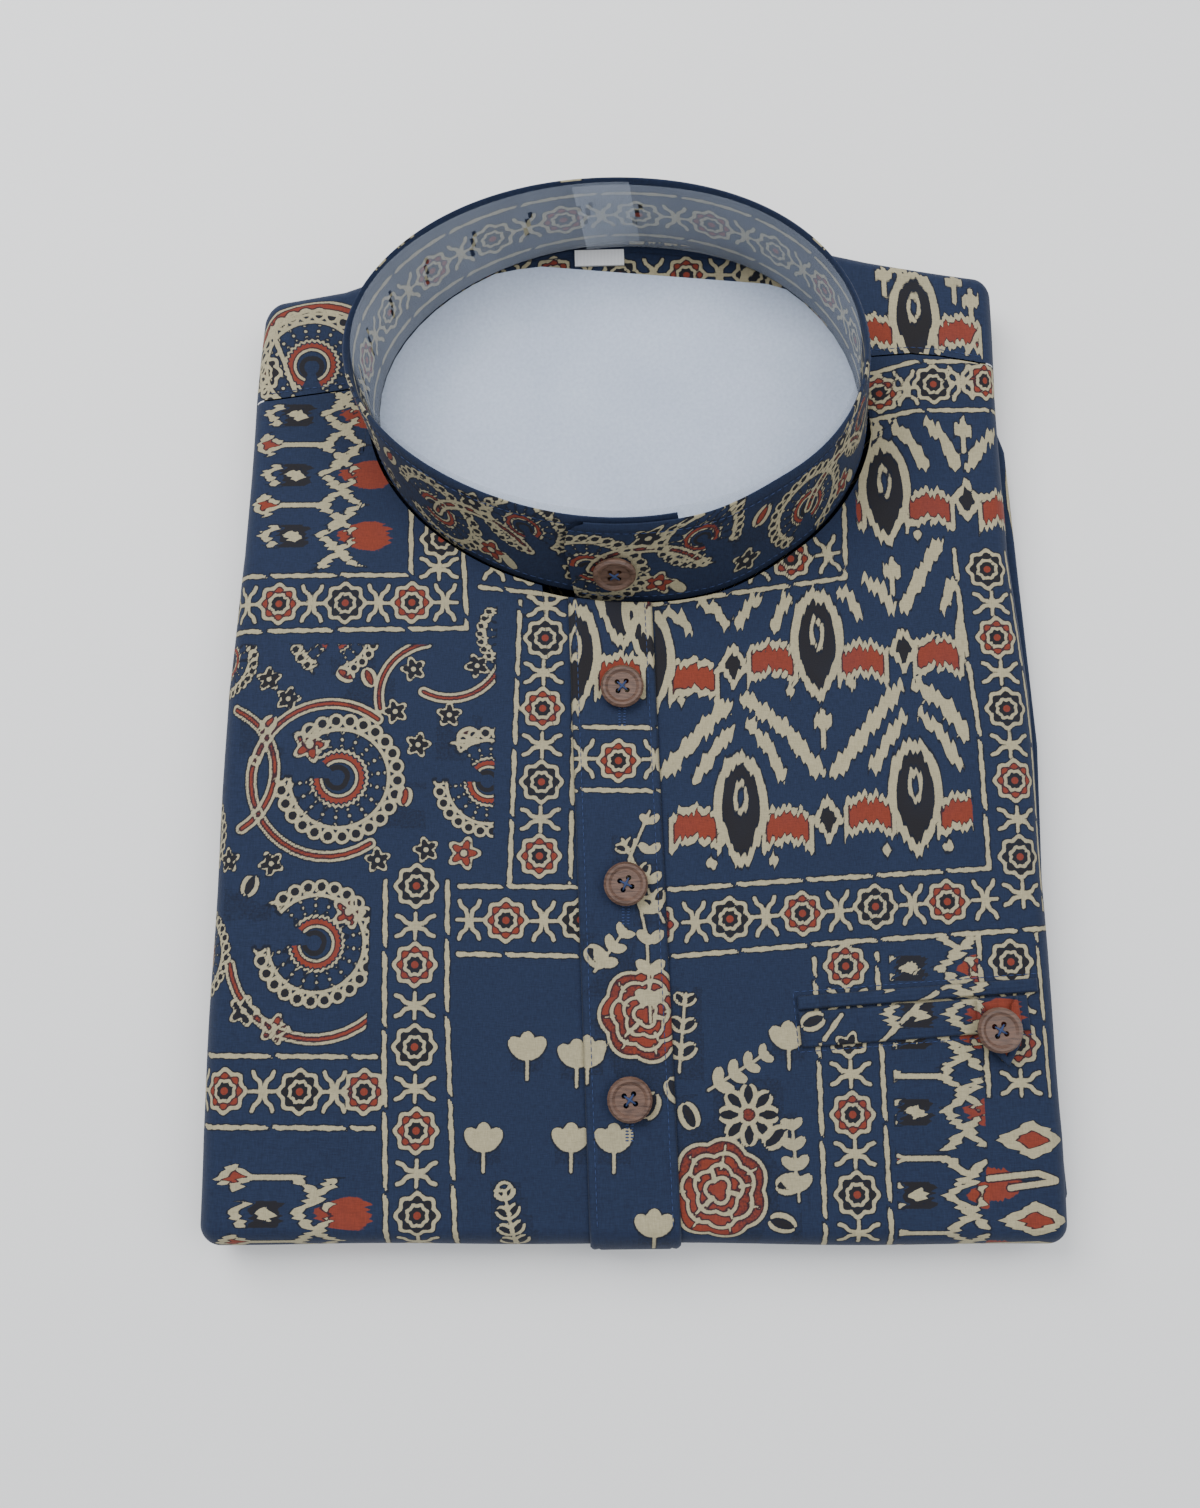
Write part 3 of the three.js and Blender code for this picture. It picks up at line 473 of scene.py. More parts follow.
def print_left(dye):
    """The wearer's left front: a wide field of ikat palmettes, framed by strips, above the pocket."""
    dye.patch(-8, 38.5, 45.8, 130)
    crescent(dye, 24, 58, 1.9, 1.0)
    crescent(dye, 52, 74, 2.2, 0.8)
    vine(dye, arc(2, 60, 14, -1.2, 0.6), 1.5, "red")
    little_flower(dye, 5, 49, "red", 1.1)
    dye.patch()
    strip(dye, ((6, 38, "red"), (26.3, 42.2, "black"), (47.3, 45.2, "red"), (54.3, 61.6, "black"),
                (56, 84, "red")), ((16.6, 40.2), (37, 43.6), (58.4, 46.6)), 0.14)
    crosslet(dye, 55, 73.4, math.pi / 2)
    line(dye, [(3, 30.4), (34, 35), (63.6, 39.2), (64.4, 84)])
    line(dye, [(26, 50.4), (45, 53.4), (46, 70)])
    strip(dye, ((76, 98.4, "red"), (93, 101.8, "black"), (109.6, 103.2, "red"), (120, 104, "black")),
          ((84.4, 100.4), (101.6, 102.4)), 0.1)
    line(dye, [(68, 88.4), (87, 93), (126, 94)])
    line(dye, [(71, 104), (87, 109.2), (126, 110)])
    dye.patch(67.6, 40, 140, 92)
    palmette(dye, 76.5, 66.4, (1, -1))
    ikat_diamond(dye, 101.5, 64)
    palmette(dye, 126, 66, (-1,))
    for start, end in (
        ((80, 88), (89, 75)), ((91, 89), (99, 75)), ((112, 86), (103, 75)), ((69, 78), (75, 87)),
    ):
        ikat_stroke(dye, start, end, 3.4)
    ikat_arrow(dye, 101.5, 85)
    dye.patch(6, -49, 98.5, 60)
    for x, y, wings in ((54.5, 18.5, (1, -1)), (30.8, -31.4, (1, -1)), (82, -27.4, (1, -1)), (4, 13, (1,)),
                        (104, 20.4, (-1,))):
        palmette(dye, x, y, wings)
    for x, y in ((29.3, 12), (80.2, 17), (56.2, -34)):
        ikat_diamond(dye, x, y)
    for start, end, width in (
        ((9, -20), (27, 0), 4.0), ((18, -22), (28, -8), 3.2), ((33, 2), (54, -20), 4.0),
        ((34, -6), (43, -21), 3.2), ((59, -20), (78, 5), 4.0), ((70, -19), (79, -4), 3.2),
        ((84, 6), (98, -9), 4.0), ((85, -3), (95, -18), 3.2), ((20, 31), (27, 25), 3.0),
        ((31, 25), (37, 33), 3.0), ((42, 24), (46, 33), 3.0), ((62, 35), (67, 28), 3.0),
        ((70, 38), (77, 30), 3.4), ((81, 30), (92, 50), 3.6), ((93, 30), (96, 38), 2.8),
        ((10, 28), (16, 23), 3.0),
    ):
        ikat_stroke(dye, start, end, width)
    for x, y in ((55.6, -7), (77.6, 39.5)):
        ikat_arrow(dye, x, y)
    for x, y in ((13.5, 1.5), (46, 4.5), (64.5, 6.5), (22, -47), (40, -46), (73, -43), (91, -42), (86, 53)):
        near, u, v = dye.at(x, y, 4)
        dye.add(near, cream=1.3 - abs(u) - 0.5 * abs(v) + 0.3 * saw(u, 0.9))
    dye.patch()
    strip(dye, ((106.6, 42, "black"), (108.6, 20.8, "red"), (110.2, -1, "black"), (111.4, -22.6, "red"),
                (111.8, -45, "black")),
          ((107.6, 31.4), (109.2, 10), (110.6, -12), (111.6, -34), (112, -56)), math.pi / 2)
    line(dye, [(96.8, 48), (98, 28), (101.6, -8), (102.6, -48.4)])
    line(dye, [(114.6, 48), (116, 28), (119.4, -8), (120.4, -60)])
    line(dye, [(7, -54.8), (42, -52.2), (102.6, -48.4)])
    strip(dye, ((5.6, -64.6, "red"), (27, -63, "black"), (48, -61.4, "red"), (69.2, -59.4, "black"),
                (90, -58, "red")),
          ((17, -63.8), (37.4, -62.2), (58.6, -60.6), (80, -58.8), (101, -57.4)), 0.06)
    line(dye, [(7, -74), (62, -69.4), (128, -65)])
    tulip(dye, 43, -99)
    spray(dye, [(20, -111), (37, -100.5)], 4, 0.9)
    daisy(dye, 31.4, -117.6)
    spray(dye, [(45, -141), (43.4, -119)], 4, 0.95)
    spray(dye, [(12, -106), (14, -84)], 3, 0.95, "black")
    rose(dye, 22.6, -138, 1.0)
    for x, y, turn in ((36, -126, 0.7), (37, -146, -0.3), (16, -121, 2.0), (9, -127, 2.7), (39, -137, 0.2)):
        leaf(dye, x, y, turn, 1.3, "black")
    strip(dye, ((60, -76.4, "red"), (60, -95.6, "black"), (60.6, -117.6, "red"), (61.2, -139.2, "black")),
          ((60.2, -86), (60.4, -106.4), (61, -128.2), (61.4, -150)), math.pi / 2)
    line(dye, [(51, -74.4), (51.6, -112), (52.4, -168)])
    line(dye, [(69, -73), (69.6, -112), (70.8, -168)])
    dye.patch(72.6, -180, 98, -68)
    for y in (-96, -117, -139.4, -160, -77):
        ikat_column(dye, 90.5, y)
    dye.patch(97.5, -180, 140, -114)
    for y in (-124.5, -146.2):
        near, u, v = dye.at(111, y, 13)
        u = u + 0.6 * saw(v, 1.2)
        gem = 6.6 - abs(u) * 0.62 - abs(v) * 1.25
        dye.add(near, cream=np.minimum(gem, 3.2 - gem), red=gem - 3.0)
        vine(dye, [(98, y - 10.5), (112, y - 9), (118, y - 11), (104, y - 13)], 1.6)
        near, u, v = dye.at(99, y - 12, 11)
        dye.add(near, red=oval(u, v + 0.3 * saw(u, 1.4), 8.5, 4.4))
    dye.patch(97.5, -113, 140, -67)
    strip(dye, ((107.4, -75.2, "black"), (108.2, -98, "red")), ((108, -86.4), (108.6, -109)), math.pi / 2)
    line(dye, [(98.4, -68), (99.4, -113)])
    line(dye, [(115.4, -67), (117.2, -113)])
    dye.patch()


class Shade:
    """A node's output socket: arithmetic on it adds Math nodes."""

    def __init__(self, tree, socket):
        self.tree, self.socket = tree, socket

    def node(self, kind, settings=None, inputs=None, output=0):
        made = self.tree.nodes.new(kind)
        for key, value in (settings or {}).items():
            setattr(made, key, value)
        for key, value in (inputs or {}).items():
            if isinstance(value, Shade):
                self.tree.links.new(value.socket, made.inputs[key])
            else:
                made.inputs[key].default_value = value
        return Shade(self.tree, made.outputs[output])

    def maths(self, operation, other=0.0, first=None, clamp=False):
        values = {0: self if first is None else first, 1: other if first is None else self}
        return self.node("ShaderNodeMath", {"operation": operation, "use_clamp": clamp}, values)

    def __add__(self, other):
        return self.maths("ADD", other)

    __radd__ = __add__

    def __sub__(self, other):
        return self.maths("SUBTRACT", other)

    def __rsub__(self, other):
        return self.maths("SUBTRACT", first=other)

    def __mul__(self, other):
        return self.maths("MULTIPLY", other)

    __rmul__ = __mul__

    def clamped(self):
        return self.maths("ADD", 0.0, clamp=True)

    def noise(self, scale, detail=2.0):
        inputs = {"Vector": self, "Scale": scale, "Detail": detail}
        return self.node("ShaderNodeTexNoise", inputs=inputs)

    def stretched(self, x, y, z):
        return self.node("ShaderNodeMapping", inputs={"Vector": self, "Scale": (x, y, z)})

    def bump(self, strength, distance):
        """Normal of a surface raised by this height, with the distance in metres."""
        inputs = {"Strength": strength, "Distance": distance, "Height": self}
        return self.node("ShaderNodeBump", inputs=inputs)

    def blend(self, low, high):
        """Colour low where this is 0 and high where it is 1."""
        return self.node("ShaderNodeMix", {"data_type": "RGBA"}, {0: self, 6: low, 7: high}, 2)


def new_finish(name):
    """A material with its shader, and a first socket to work from: the piece's own coordinates."""
    made = bpy.data.materials.new(name)
    made.use_nodes = True
    tree = made.node_tree
    coordinates = tree.nodes.new("ShaderNodeTexCoord")
    return made, tree.nodes["Principled BSDF"], Shade(tree, coordinates.outputs["Object"])


def join(value, shader, socket):
    value.tree.links.new(value.socket, shader.inputs[socket])


NAVY, NAVY_DARK = (0.0125, 0.0235, 0.060, 1), (0.0070, 0.0135, 0.036, 1)
CREAM, RED = (0.40, 0.355, 0.225, 1), (0.215, 0.036, 0.018, 1)
BLACK, LINE = (0.010, 0.009, 0.011, 1), (0.004, 0.006, 0.014, 1)
printed, shader, here = new_finish("printed_cotton")
dye_depth = here.node("ShaderNodeAttribute", {"attribute_name": "dye"}, output=1)
parts = dye_depth.node("ShaderNodeSeparateXYZ", inputs={0: dye_depth})
cream_in, red_in, black_in = (Shade(parts.tree, parts.socket.node.outputs[i]) for i in range(3))
fray = here.noise(1500.0) - 0.5
cloud = here.noise(55.0, 4.0)
weft = here.stretched(500.0, 3400.0, 500.0).noise(1.0, 1.0)
warp = here.stretched(3400.0, 500.0, 500.0).noise(1.0, 1.0)
threads = weft + warp
cream_mask = ((cream_in + fray * 0.35) * 6.0 + 0.5).clamped()
edge_mask = ((cream_in + 0.42 + fray * 0.35) * 5.0 + 0.5).clamped()
red_mask = ((red_in + fray * 0.4) * 5.0 + 0.5).clamped()
black_mask = ((black_in + fray * 0.4) * 5.0 + 0.5).clamped()
worn = ((threads - 1.0) * 1.3 + 0.5).clamped()
ground = worn.blend(NAVY_DARK, NAVY)
colour = red_mask.blend(ground, worn.blend((0.15, 0.025, 0.013, 1), RED))
colour = black_mask.blend(colour, BLACK)
colour = (edge_mask * 0.85).blend(colour, LINE)
colour = cream_mask.blend(colour, worn.blend((0.29, 0.255, 0.16, 1), CREAM))
colour = ((cloud - 0.4) * 0.35).clamped().blend(colour, (0.026, 0.040, 0.082, 1))
join(colour, shader, "Base Color")
join(cloud * 0.12 + 0.76, shader, "Roughness")
shader.inputs["Sheen Weight"].default_value = 0.04
shader.inputs["Sheen Roughness"].default_value = 0.5
shader.inputs["Specular IOR Level"].default_value = 0.25
join(threads.bump(0.35, 0.0002), shader, "Normal")


def cloth_sheet(name, points, p, q, draw, replaced=(), wall=0.0):
    """A shell of cloth through a grid of points, in millimetres, with its print in an attribute."""
    rows, columns = points.shape[:2]
    corner = np.arange(rows * columns).reshape(rows, columns)
    faces = np.stack([corner[:-1, :-1], corner[:-1, 1:], corner[1:, 1:], corner[1:, :-1]], -1).reshape(-1, 4)
    mesh = bpy.data.meshes.new(name)
    mesh.from_pydata(points.reshape(-1, 3) * MM, [], faces)
    dye = Dye(p, q)
    draw(dye)
    depth = mesh.attributes.new("dye", "FLOAT_VECTOR", "POINT")
    depth.data.foreach_set("vector", np.clip(dye.depth, -3, 3).astype(np.float32).ravel())
    mesh.materials.append(printed)
    mesh.shade_smooth()
    piece = bpy.data.objects.new(name + "_cloth", mesh)
    bpy.context.scene.collection.objects.link(piece)
    if wall:
        bpy.ops.object.select_all(action="DESELECT")
        bpy.context.view_layer.objects.active = piece
        piece.select_set(True)
        shell = piece.modifiers.new("wall", "SOLIDIFY")
        shell.thickness = wall * MM
        shell.offset = -1
        bpy.ops.object.modifier_apply(modifier="wall")
    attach(piece, "root")
    if replaced:
        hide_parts(*replaced)
    return piece


def grid(columns, rows):
    return np.meshgrid(np.linspace(0, 1, columns + 1), np.linspace(0, 1, rows + 1))


def front(side, name, seam, seam_angle, draw):
    columns, rows = round(FRONT_WIDTH / SPACING), round(FRONT_LENGTH / SPACING)
    u, v = grid(columns, rows)
    edge = SIDE_LEFT if side < 0 else SIDE_RIGHT
    fold_share, foot_share, seam_share = 0.097, 0.115, 0.23
    fold = 1 - share(u, 0, fold_share)
    inward = share(u, fold_share, 1)
    angle = mix(seam_angle, side * 0.02, share(inward, seam_share, 1))
    neck_x, neck_y = neck_point(angle, neck_ease(angle))
    seam_u = np.linspace(0, seam_share, len(seam))
    on_seam = inward < seam_share
    top_x = np.where(on_seam, np.interp(inward, seam_u, [x for x, y in seam]), neck_x)
    top_y = np.where(on_seam, np.interp(inward, seam_u, [y for x, y in seam]) - 0.15, neck_y)
    last = inward > 0.9999
    top_x = np.where(last, opening_x(neck_y) + side * 0.15, top_x)
    climb = share(v, foot_share, 1)
    turned = FOOT_BEND - math.pi * FOLD_ARC * (1 - v / foot_share)
    y = np.where(v < foot_share, turned, mix(FOOT_BEND, top_y, climb))
    start = np.interp(y, SIDE_Y, edge) - side * FOLD_REACH
    middle = opening_x(y) + side * 0.15
    top_start = np.interp(top_y, SIDE_Y, edge) - side * FOLD_REACH
    ringed = mix(start, middle, (top_x - top_start) / (opening_x(top_y) - top_start))
    x = mix(mix(start, middle, inward), ringed, climb * climb) + side * fold * FOLD_ARC * math.pi / 2
    points = cloth(x, y, 0)
    if side > 0:
        points, x, y = points[:, ::-1], x[:, ::-1], y[:, ::-1]
    piece = cloth_sheet(name, points, x, y, draw, (name,))
    return piece


front(-1, "front_right", SEAM_RIGHT, SEAM_RIGHT_ANGLE, print_right)
front(1, "front_left", SEAM_LEFT, SEAM_LEFT_ANGLE, print_left)
# Yoke: the shoulder piece of the same cotton behind the neck, seamed to both fronts and turned over
# the folded shoulder edge. Its topstitching is with the other stitches.
YOKE_ROUND, YOKE_OUT = 330, 60


def yoke():
    columns, rows = round(YOKE_ROUND / SPACING), round(YOKE_OUT / SPACING)
    u, v = grid(columns, rows)
    angle = mix(SEAM_RIGHT_ANGLE, SEAM_LEFT_ANGLE - 2 * math.pi, u)
    near_x, near_y = neck_point(angle, neck_ease(angle))
    left_x = np.interp(97, SIDE_Y, SIDE_LEFT) + FOLD_REACH
    right_x = np.interp(109, SIDE_Y, SIDE_RIGHT) - FOLD_REACH
    at = (0, 0.13, 0.25, 0.36, 0.5, 0.66, 0.76, 0.9, 1)
    border_x = (left_x, left_x, -86, -50, -6, 40, 74, right_x, right_x)
    head = np.interp(border_x, HEAD_X, HEAD_Y) - FOLD_REACH
    border_y = (96.4, *head[1:-1], 109.0)
    x, y = np.interp(u, at, border_x), np.interp(u, at, border_y)
    out_x = np.sign(x) * np.where(x < 0, 1 - ease(share(u, 0.1, 0.16)), ease(share(u, 0.86, 0.92)))
    out_y = np.where(x < 0, ease(share(u, 0.08, 0.14)), 1 - ease(share(u, 0.88, 0.94)))
    length = FOLD_ARC * 1.45 / np.hypot(out_x, out_y)
    flat, bend = share(v, 0, 0.7), share(v, 0.7, 1) * length
    p, q = mix(near_x, x, flat), mix(near_y, y, flat)
    seam_left = np.interp(p, [x for x, y in SEAM_LEFT[::-1]], [y for x, y in SEAM_LEFT[::-1]])
    seam_right = np.interp(p, [x for x, y in SEAM_RIGHT], [y for x, y in SEAM_RIGHT])
    q = np.maximum(q, np.where(p < NECK_X, seam_right, seam_left) + 0.3)
    p, q = p + out_x * bend, q + out_y * bend
    piece = cloth_sheet("yoke", cloth(p, q, 0), p, q, print_yoke, ("yoke",))


def print_yoke(dye):
    crescent(dye, -100, 108, 1.6, 1.0)
    vine(dye, arc(-98, 104, 24, 0.6, 2.6), 2.2, "red")
    vine(dye, arc(-98, 104, 21.4, 0.6, 2.6), 0.9)
    line(dye, [(-114, 122), (-105, 100)])
    rosette(dye, -115.5, 105.5, "black")
    palmette(dye, 88, 124, (1, -1))
    palmette(dye, 20, 160, (1, -1))
    for x, y in ((84, 140), (101, 135), (79, 137), (106, 128)):
        ikat_arrow(dye, x, y)
    line(dye, [(104, 112), (109, 121)])
    for x, y in ((-30, 156), (-60, 152), (55, 153)):
        rosette(dye, x, y, "red")


yoke()


# Placket: one strip of the same cotton folded double, stitched down over the front opening
# and run on over the bottom fold. Its print is cut from another part of the cloth.
def print_placket(dye):
    for x, y in ((-4, 34), (4, 28)):
        palmette(dye, x, y, (1,))
    dye.patch(-22, -7, 14, 60)
    palmette(dye, -18, 14, (1,))
    ikat_stroke(dye, (-2, 30), (6, 20), 3.0)
    dye.patch()
    line(dye, [(-19, -7), (9, -7.2)])
    line(dye, [(-18, -25.6), (10, -26)])
    strip(dye, ((-5, -17, "red"),), ((-15.4, -16.4), (5.8, -16.6)))
    spray(dye, [(4, -92), (3, -68), (-2, -46), (4, -32)], 7, 0.95)
    spray(dye, [(8, -64), (-4, -40)], 3, 0.9, "black")
    spray(dye, [(-12, -78), (-3, -66)], 3, 0.9)
    rose(dye, 2.6, -90, 0.95)
    for x, y, turn in ((-10, -100, 3.6), (9, -108, -1.0), (5, -112, -2.0), (-9, -76, 2.4)):
        leaf(dye, x, y, turn, 1.3, "black")
    for x, y in ((-6.5, -127), (4.6, -150), (-14, -103)):
        tulip(dye, x, y)


def placket_edge(y, side):
    low, high = (-13.1, -20.1) if side < 0 else (12.3, 5.0)
    return mix(low, high, share(y, FOOT, 35))


PLACKET_WIDTH, PLACKET_LENGTH, TAIL_SHARE = 26, 210, 0.075
columns, rows = round(PLACKET_WIDTH / SPACING), round(PLACKET_LENGTH / SPACING)
u, v = grid(columns, rows)
tail = FOLD_ARC * math.pi * 0.6
x0 = mix(placket_edge(30, -1), placket_edge(30, 1), u)
angle = np.arcsin((x0 - NECK_X) / (NECK_A + 5))
top_y = neck_point(angle, neck_ease(angle) + 0.2)[1]
flat_y = mix(FOOT_BEND, top_y, share(v, TAIL_SHARE, 1))
y = np.where(v < TAIL_SHARE, FOOT_BEND - tail * (1 - v / TAIL_SHARE), flat_y)
x = mix(placket_edge(y, -1), placket_edge(y, 1), u)
edge = np.minimum(u, 1 - u) * 25
lift = 1.7 - 0.9 * np.exp(-edge / 0.5) - 0.35 * np.exp(-((edge - 2.2) / 0.4) ** 2)
placket = cloth_sheet("placket", cloth(x, y, -lift), x, y, print_placket, ("placket",), wall=1.2)


# Welt pocket: two folded strips of the cotton along the mouth of a pocket on the wearer's left
# front, and a narrow pointed loop that comes out of the mouth and round the button.
POCKET_X, POCKET_Y, POCKET_TILT = 46.6, -99.2, 0.075


def pocket_place(a, b):
    c, s = math.cos(POCKET_TILT), math.sin(POCKET_TILT)
    return POCKET_X + a * c - b * s, POCKET_Y + a * s + b * c


def print_welt(dye):
    line(dye, [(52, -98), (58, -90)])
    line(dye, [(69, -98), (80, -87), (92, -80)])
    ikat_column(dye, 92, -90)
    little_flower(dye, 60, -99, "black")
    leaf(dye, 47, -93, 0.4, 1.2, "black")


def welt(name, a0, a1, b0, b1):
    u, v = grid(round((a1 - a0) / SPACING), max(6, round((b1 - b0) / 0.45)))
    x, y = pocket_place(mix(a0, a1, u), mix(b0, b1, v))
    rim = np.minimum(np.minimum(v, 1 - v) * (b1 - b0), np.minimum(u, 1 - u) * (a1 - a0))
    lift = 1.5 - 0.7 * np.exp(-rim / 0.4) - 0.25 * np.exp(-((rim - 1.3) / 0.35) ** 2)
    piece = cloth_sheet(name, cloth(x, y, -lift), x, y, print_welt, (name,), wall=1.0)


welt("pocket_welt_upper", 0, 69.0, 10.5, 14.4)
welt("pocket_welt_lower", 0, 65.5, 0, 9.9)

LOOP = ((50.5, 9.8), (50.0, 2.5), (52.0, -3.0), (57.4, -9.6), (61.6, -3.2), (62.6, 2.5), (62.3, 9.8))
LOOP_WIDTH = 3.2
LOOP_MIDDLE = (56.3, 3.5)
loop_a, loop_b = zip(*LOOP)
reach = np.linspace(0, len(LOOP) - 1, 61)
centre_a = np.interp(reach, range(len(LOOP)), loop_a)
centre_b = np.interp(reach, range(len(LOOP)), loop_b)
across_a, across_b = LOOP_MIDDLE[0] - centre_a, LOOP_MIDDLE[1] - centre_b
size = np.hypot(across_a, across_b)
inset = np.linspace(0, 1, 7)[:, None]
a = centre_a + across_a / size * LOOP_WIDTH * inset
b = centre_b + across_b / size * LOOP_WIDTH * inset
x, y = pocket_place(a, b)
height = 22.6 - 0.5 * (2 * inset - 1) ** 4 + 0 * x
strap = cloth_sheet("pocket_loop", np.stack([x, y, height], -1), x, y, print_welt, ("pocket_loop",), wall=0.8)


# Collar band: two layers of cotton over a stiffener, sewn into the neck and standing in a ring, its
# buttoned end lapped over the other. Outside, inside and turned upper edge are a shell each.
RIM_X, RIM_Y, RIM_A, RIM_B = -8.6, 100.5, 75.5, 51.9
BAND_WIDTH, BAND_WALL, BAND_FOOT = 32.0, 1.6, 17.6
BAND_LENGTH = 446
LAP_END, UNDER_END = -0.175, 2 * math.pi + 0.27


def band_point(angle, height, offset):
    low_x, low_y = neck_point(angle, 0)
    high_x = RIM_X + RIM_A * np.sin(angle)
    high_y = RIM_Y - RIM_B * (1 + EGG * np.sin(angle)) * np.cos(angle)
    rise = np.sqrt(BAND_WIDTH ** 2 - (high_x - low_x) ** 2 - (high_y - low_y) ** 2)
    x = mix(low_x, high_x, height) + offset * np.sin(angle)
    y = mix(low_y, high_y, height) - offset * np.cos(angle)
    return np.stack([x, y, BAND_FOOT + rise * height], -1)


def print_band(dye):
    for i in range(-2, 8):
        x = i * 62.0
        crescent(dye, x + 6, 14, 0.4 + i, 0.75)
        crescent(dye, x + 34, 24, 2.2 + i, 0.62)
        vine(dye, arc(x + 20, 8, 15, 0.4, 2.8), 1.5, "red")
        little_flower(dye, x + 22, 8, "red", 1.1)
        little_flower(dye, x + 46, 8, "black")
        little_flower(dye, x + 20, 27, "black")
        leaf(dye, x + 50, 20, 1.0, 1.2, "red")
        leaf(dye, x + 28, 3, 2.0, 1.0)


def print_band_inside(dye):
    line(dye, [(-20, 5), (460, 5)])
    for i in range(24):
        rosette(dye, 8 + i * 20.5, 15.4, "red" if i % 2 else "black", size=1.05)
        crosslet(dye, 18.2 + i * 20.5, 15.4)
    line(dye, [(-20, 26), (460, 26)])


def band_face(u, v, side):
    corner = 0.09 * (1 - np.sqrt(1 - share(v, 0.6, 1) ** 2))
    angle = mix(LAP_END + corner, UNDER_END, u)
    rim = np.exp(-(1 - v) * BAND_WIDTH / 0.6) * 0.5
    seam = 0.3 * np.exp(-(((1 - v) * BAND_WIDTH - 3.0) / 0.5) ** 2)
    waver = 0.25 * np.sin(angle * 5 + v * 2) * v
    offset = lap_at(angle) + side * (BAND_WALL / 2 - rim - seam) + waver
    return band_point(angle, v, offset), u * BAND_LENGTH, v * BAND_WIDTH


BAND_SPACING = SPACING * 1.1
u, v = grid(round(BAND_LENGTH / BAND_SPACING), round(BAND_WIDTH / BAND_SPACING))
points, s, t = band_face(u, v, 1)
collar = cloth_sheet("collar_band", points, s, t, print_band, ("collar_band",))
points, s, t = band_face(u, v, -1)
inner = cloth_sheet("collar_band_inside", points[:, ::-1], s[:, ::-1], t[:, ::-1], print_band_inside)
rim_edge = np.linspace(0, 1, round(BAND_LENGTH / 0.9) + 1)
outside = band_face(rim_edge, np.ones_like(rim_edge), 1)[0]
within = band_face(rim_edge, np.ones_like(rim_edge), -1)[0]
cap = np.stack([outside, (outside + within) / 2 + np.array((0, 0, 0.45)), within])
s, t = np.broadcast_arrays(rim_edge * BAND_LENGTH, np.full((3, 1), BAND_WIDTH))
cloth_sheet("collar_rim", cap, s, t, print_band)


# Inner yoke: the second layer of the shoulder piece, seen down inside the neck.
def print_lining(dye):
    for i in range(-3, 5):
        rosette(dye, i * 21.0 - 4, 140, "red" if i % 2 else "black")
        crosslet(dye, i * 21.0 + 6.5, 140)
    line(dye, [(-80, 130), (80, 130)])
    palmette(dye, 40, 128, (1, -1))


u, v = grid(round(150 / SPACING), round(52 / SPACING))
angle = mix(math.pi / 2 + 0.085, 1.5 * math.pi - 0.085, u)
edge_x, edge_y = neck_point(angle, -0.4)
y = mix(98.0, edge_y, v)
lining = cloth_sheet("yoke_lining", np.stack([edge_x, y, 17.0 + 0 * y], -1)[::-1], edge_x[::-1], y[::-1],
                     print_lining, ("yoke_lining",), wall=1.0)


# Hidden layers: the rest of the kurta folded under, its many edges rounded on each other round the
# pile. The sleeve's own fold lies beside them on the wearer's left.
def print_layers(dye):
    for i in range(44):
        crescent(dye, i * 40.0, 6, i * 0.9, 0.5)
        little_flower(dye, i * 40.0 + 18, 6, "red")
        leaf(dye, i * 40.0 + 28, 8, 0.6, 1.2)


def outline(inset, foot_inset, steps):
    """Rounded outline of the pile, drawn in by an inset."""
    turn = np.linspace(0, 2 * math.pi, steps + 1)
    c, s = np.cos(turn), np.sin(turn)
    squareness = 0.16
    x = np.sign(c) * abs(c) ** squareness
    y = np.sign(s) * abs(s) ** squareness
    low = FOOT + foot_inset
    high = np.interp(x * 112, HEAD_X, HEAD_Y) - inset - 1.2
    py = np.where(y < 0, mix(0, low, -y), mix(0, high, y))
    left = np.interp(py, SIDE_Y, SIDE_LEFT) + inset
    right = np.interp(py, SIDE_Y, SIDE_RIGHT) - inset
    px = np.where(x < 0, mix(0, left, -x), mix(0, right, x))
    return px, py


LAYER = 2.9
LIP = 2.2
PILE_TOP = 17.2
OUTLINE_LENGTH = 1040
levels = np.linspace(0, PILE_TOP, 61)
shells = []
for z in levels:
    place = (z % LAYER) / LAYER * 2 - 1
    lip = LIP * (1 - math.sqrt(max(0, 1 - place ** 2)))
    inset = 1.4 + lip * (1 if z < 10 else 0.3) + 4.6 * share(z, 11, PILE_TOP) ** 2
    lift = min(1, abs(z - WAIST) / 8.3)
    foot_inset = FOLD_REACH - 4.2 * math.sqrt(1 - lift ** 2) + (2.5 if z < 1.9 else 0)
    px, py = outline(inset, foot_inset, 700)
    shells.append(np.stack([px, py, np.full_like(px, z)], -1))
shells = np.array(shells)
rings = np.concatenate([np.zeros((1, shells.shape[1], 3)), shells])
around = np.broadcast_to(np.linspace(0, OUTLINE_LENGTH, rings.shape[1]), rings.shape[:2])
climb = np.broadcast_to(rings[:, :1, 2], rings.shape[:2])
# The shell starts at the middle of the underside. Its top is open, hidden under the fronts and the yoke.
pile = cloth_sheet("folded_layers", rings, around, climb, print_layers, ("folded_layers",))

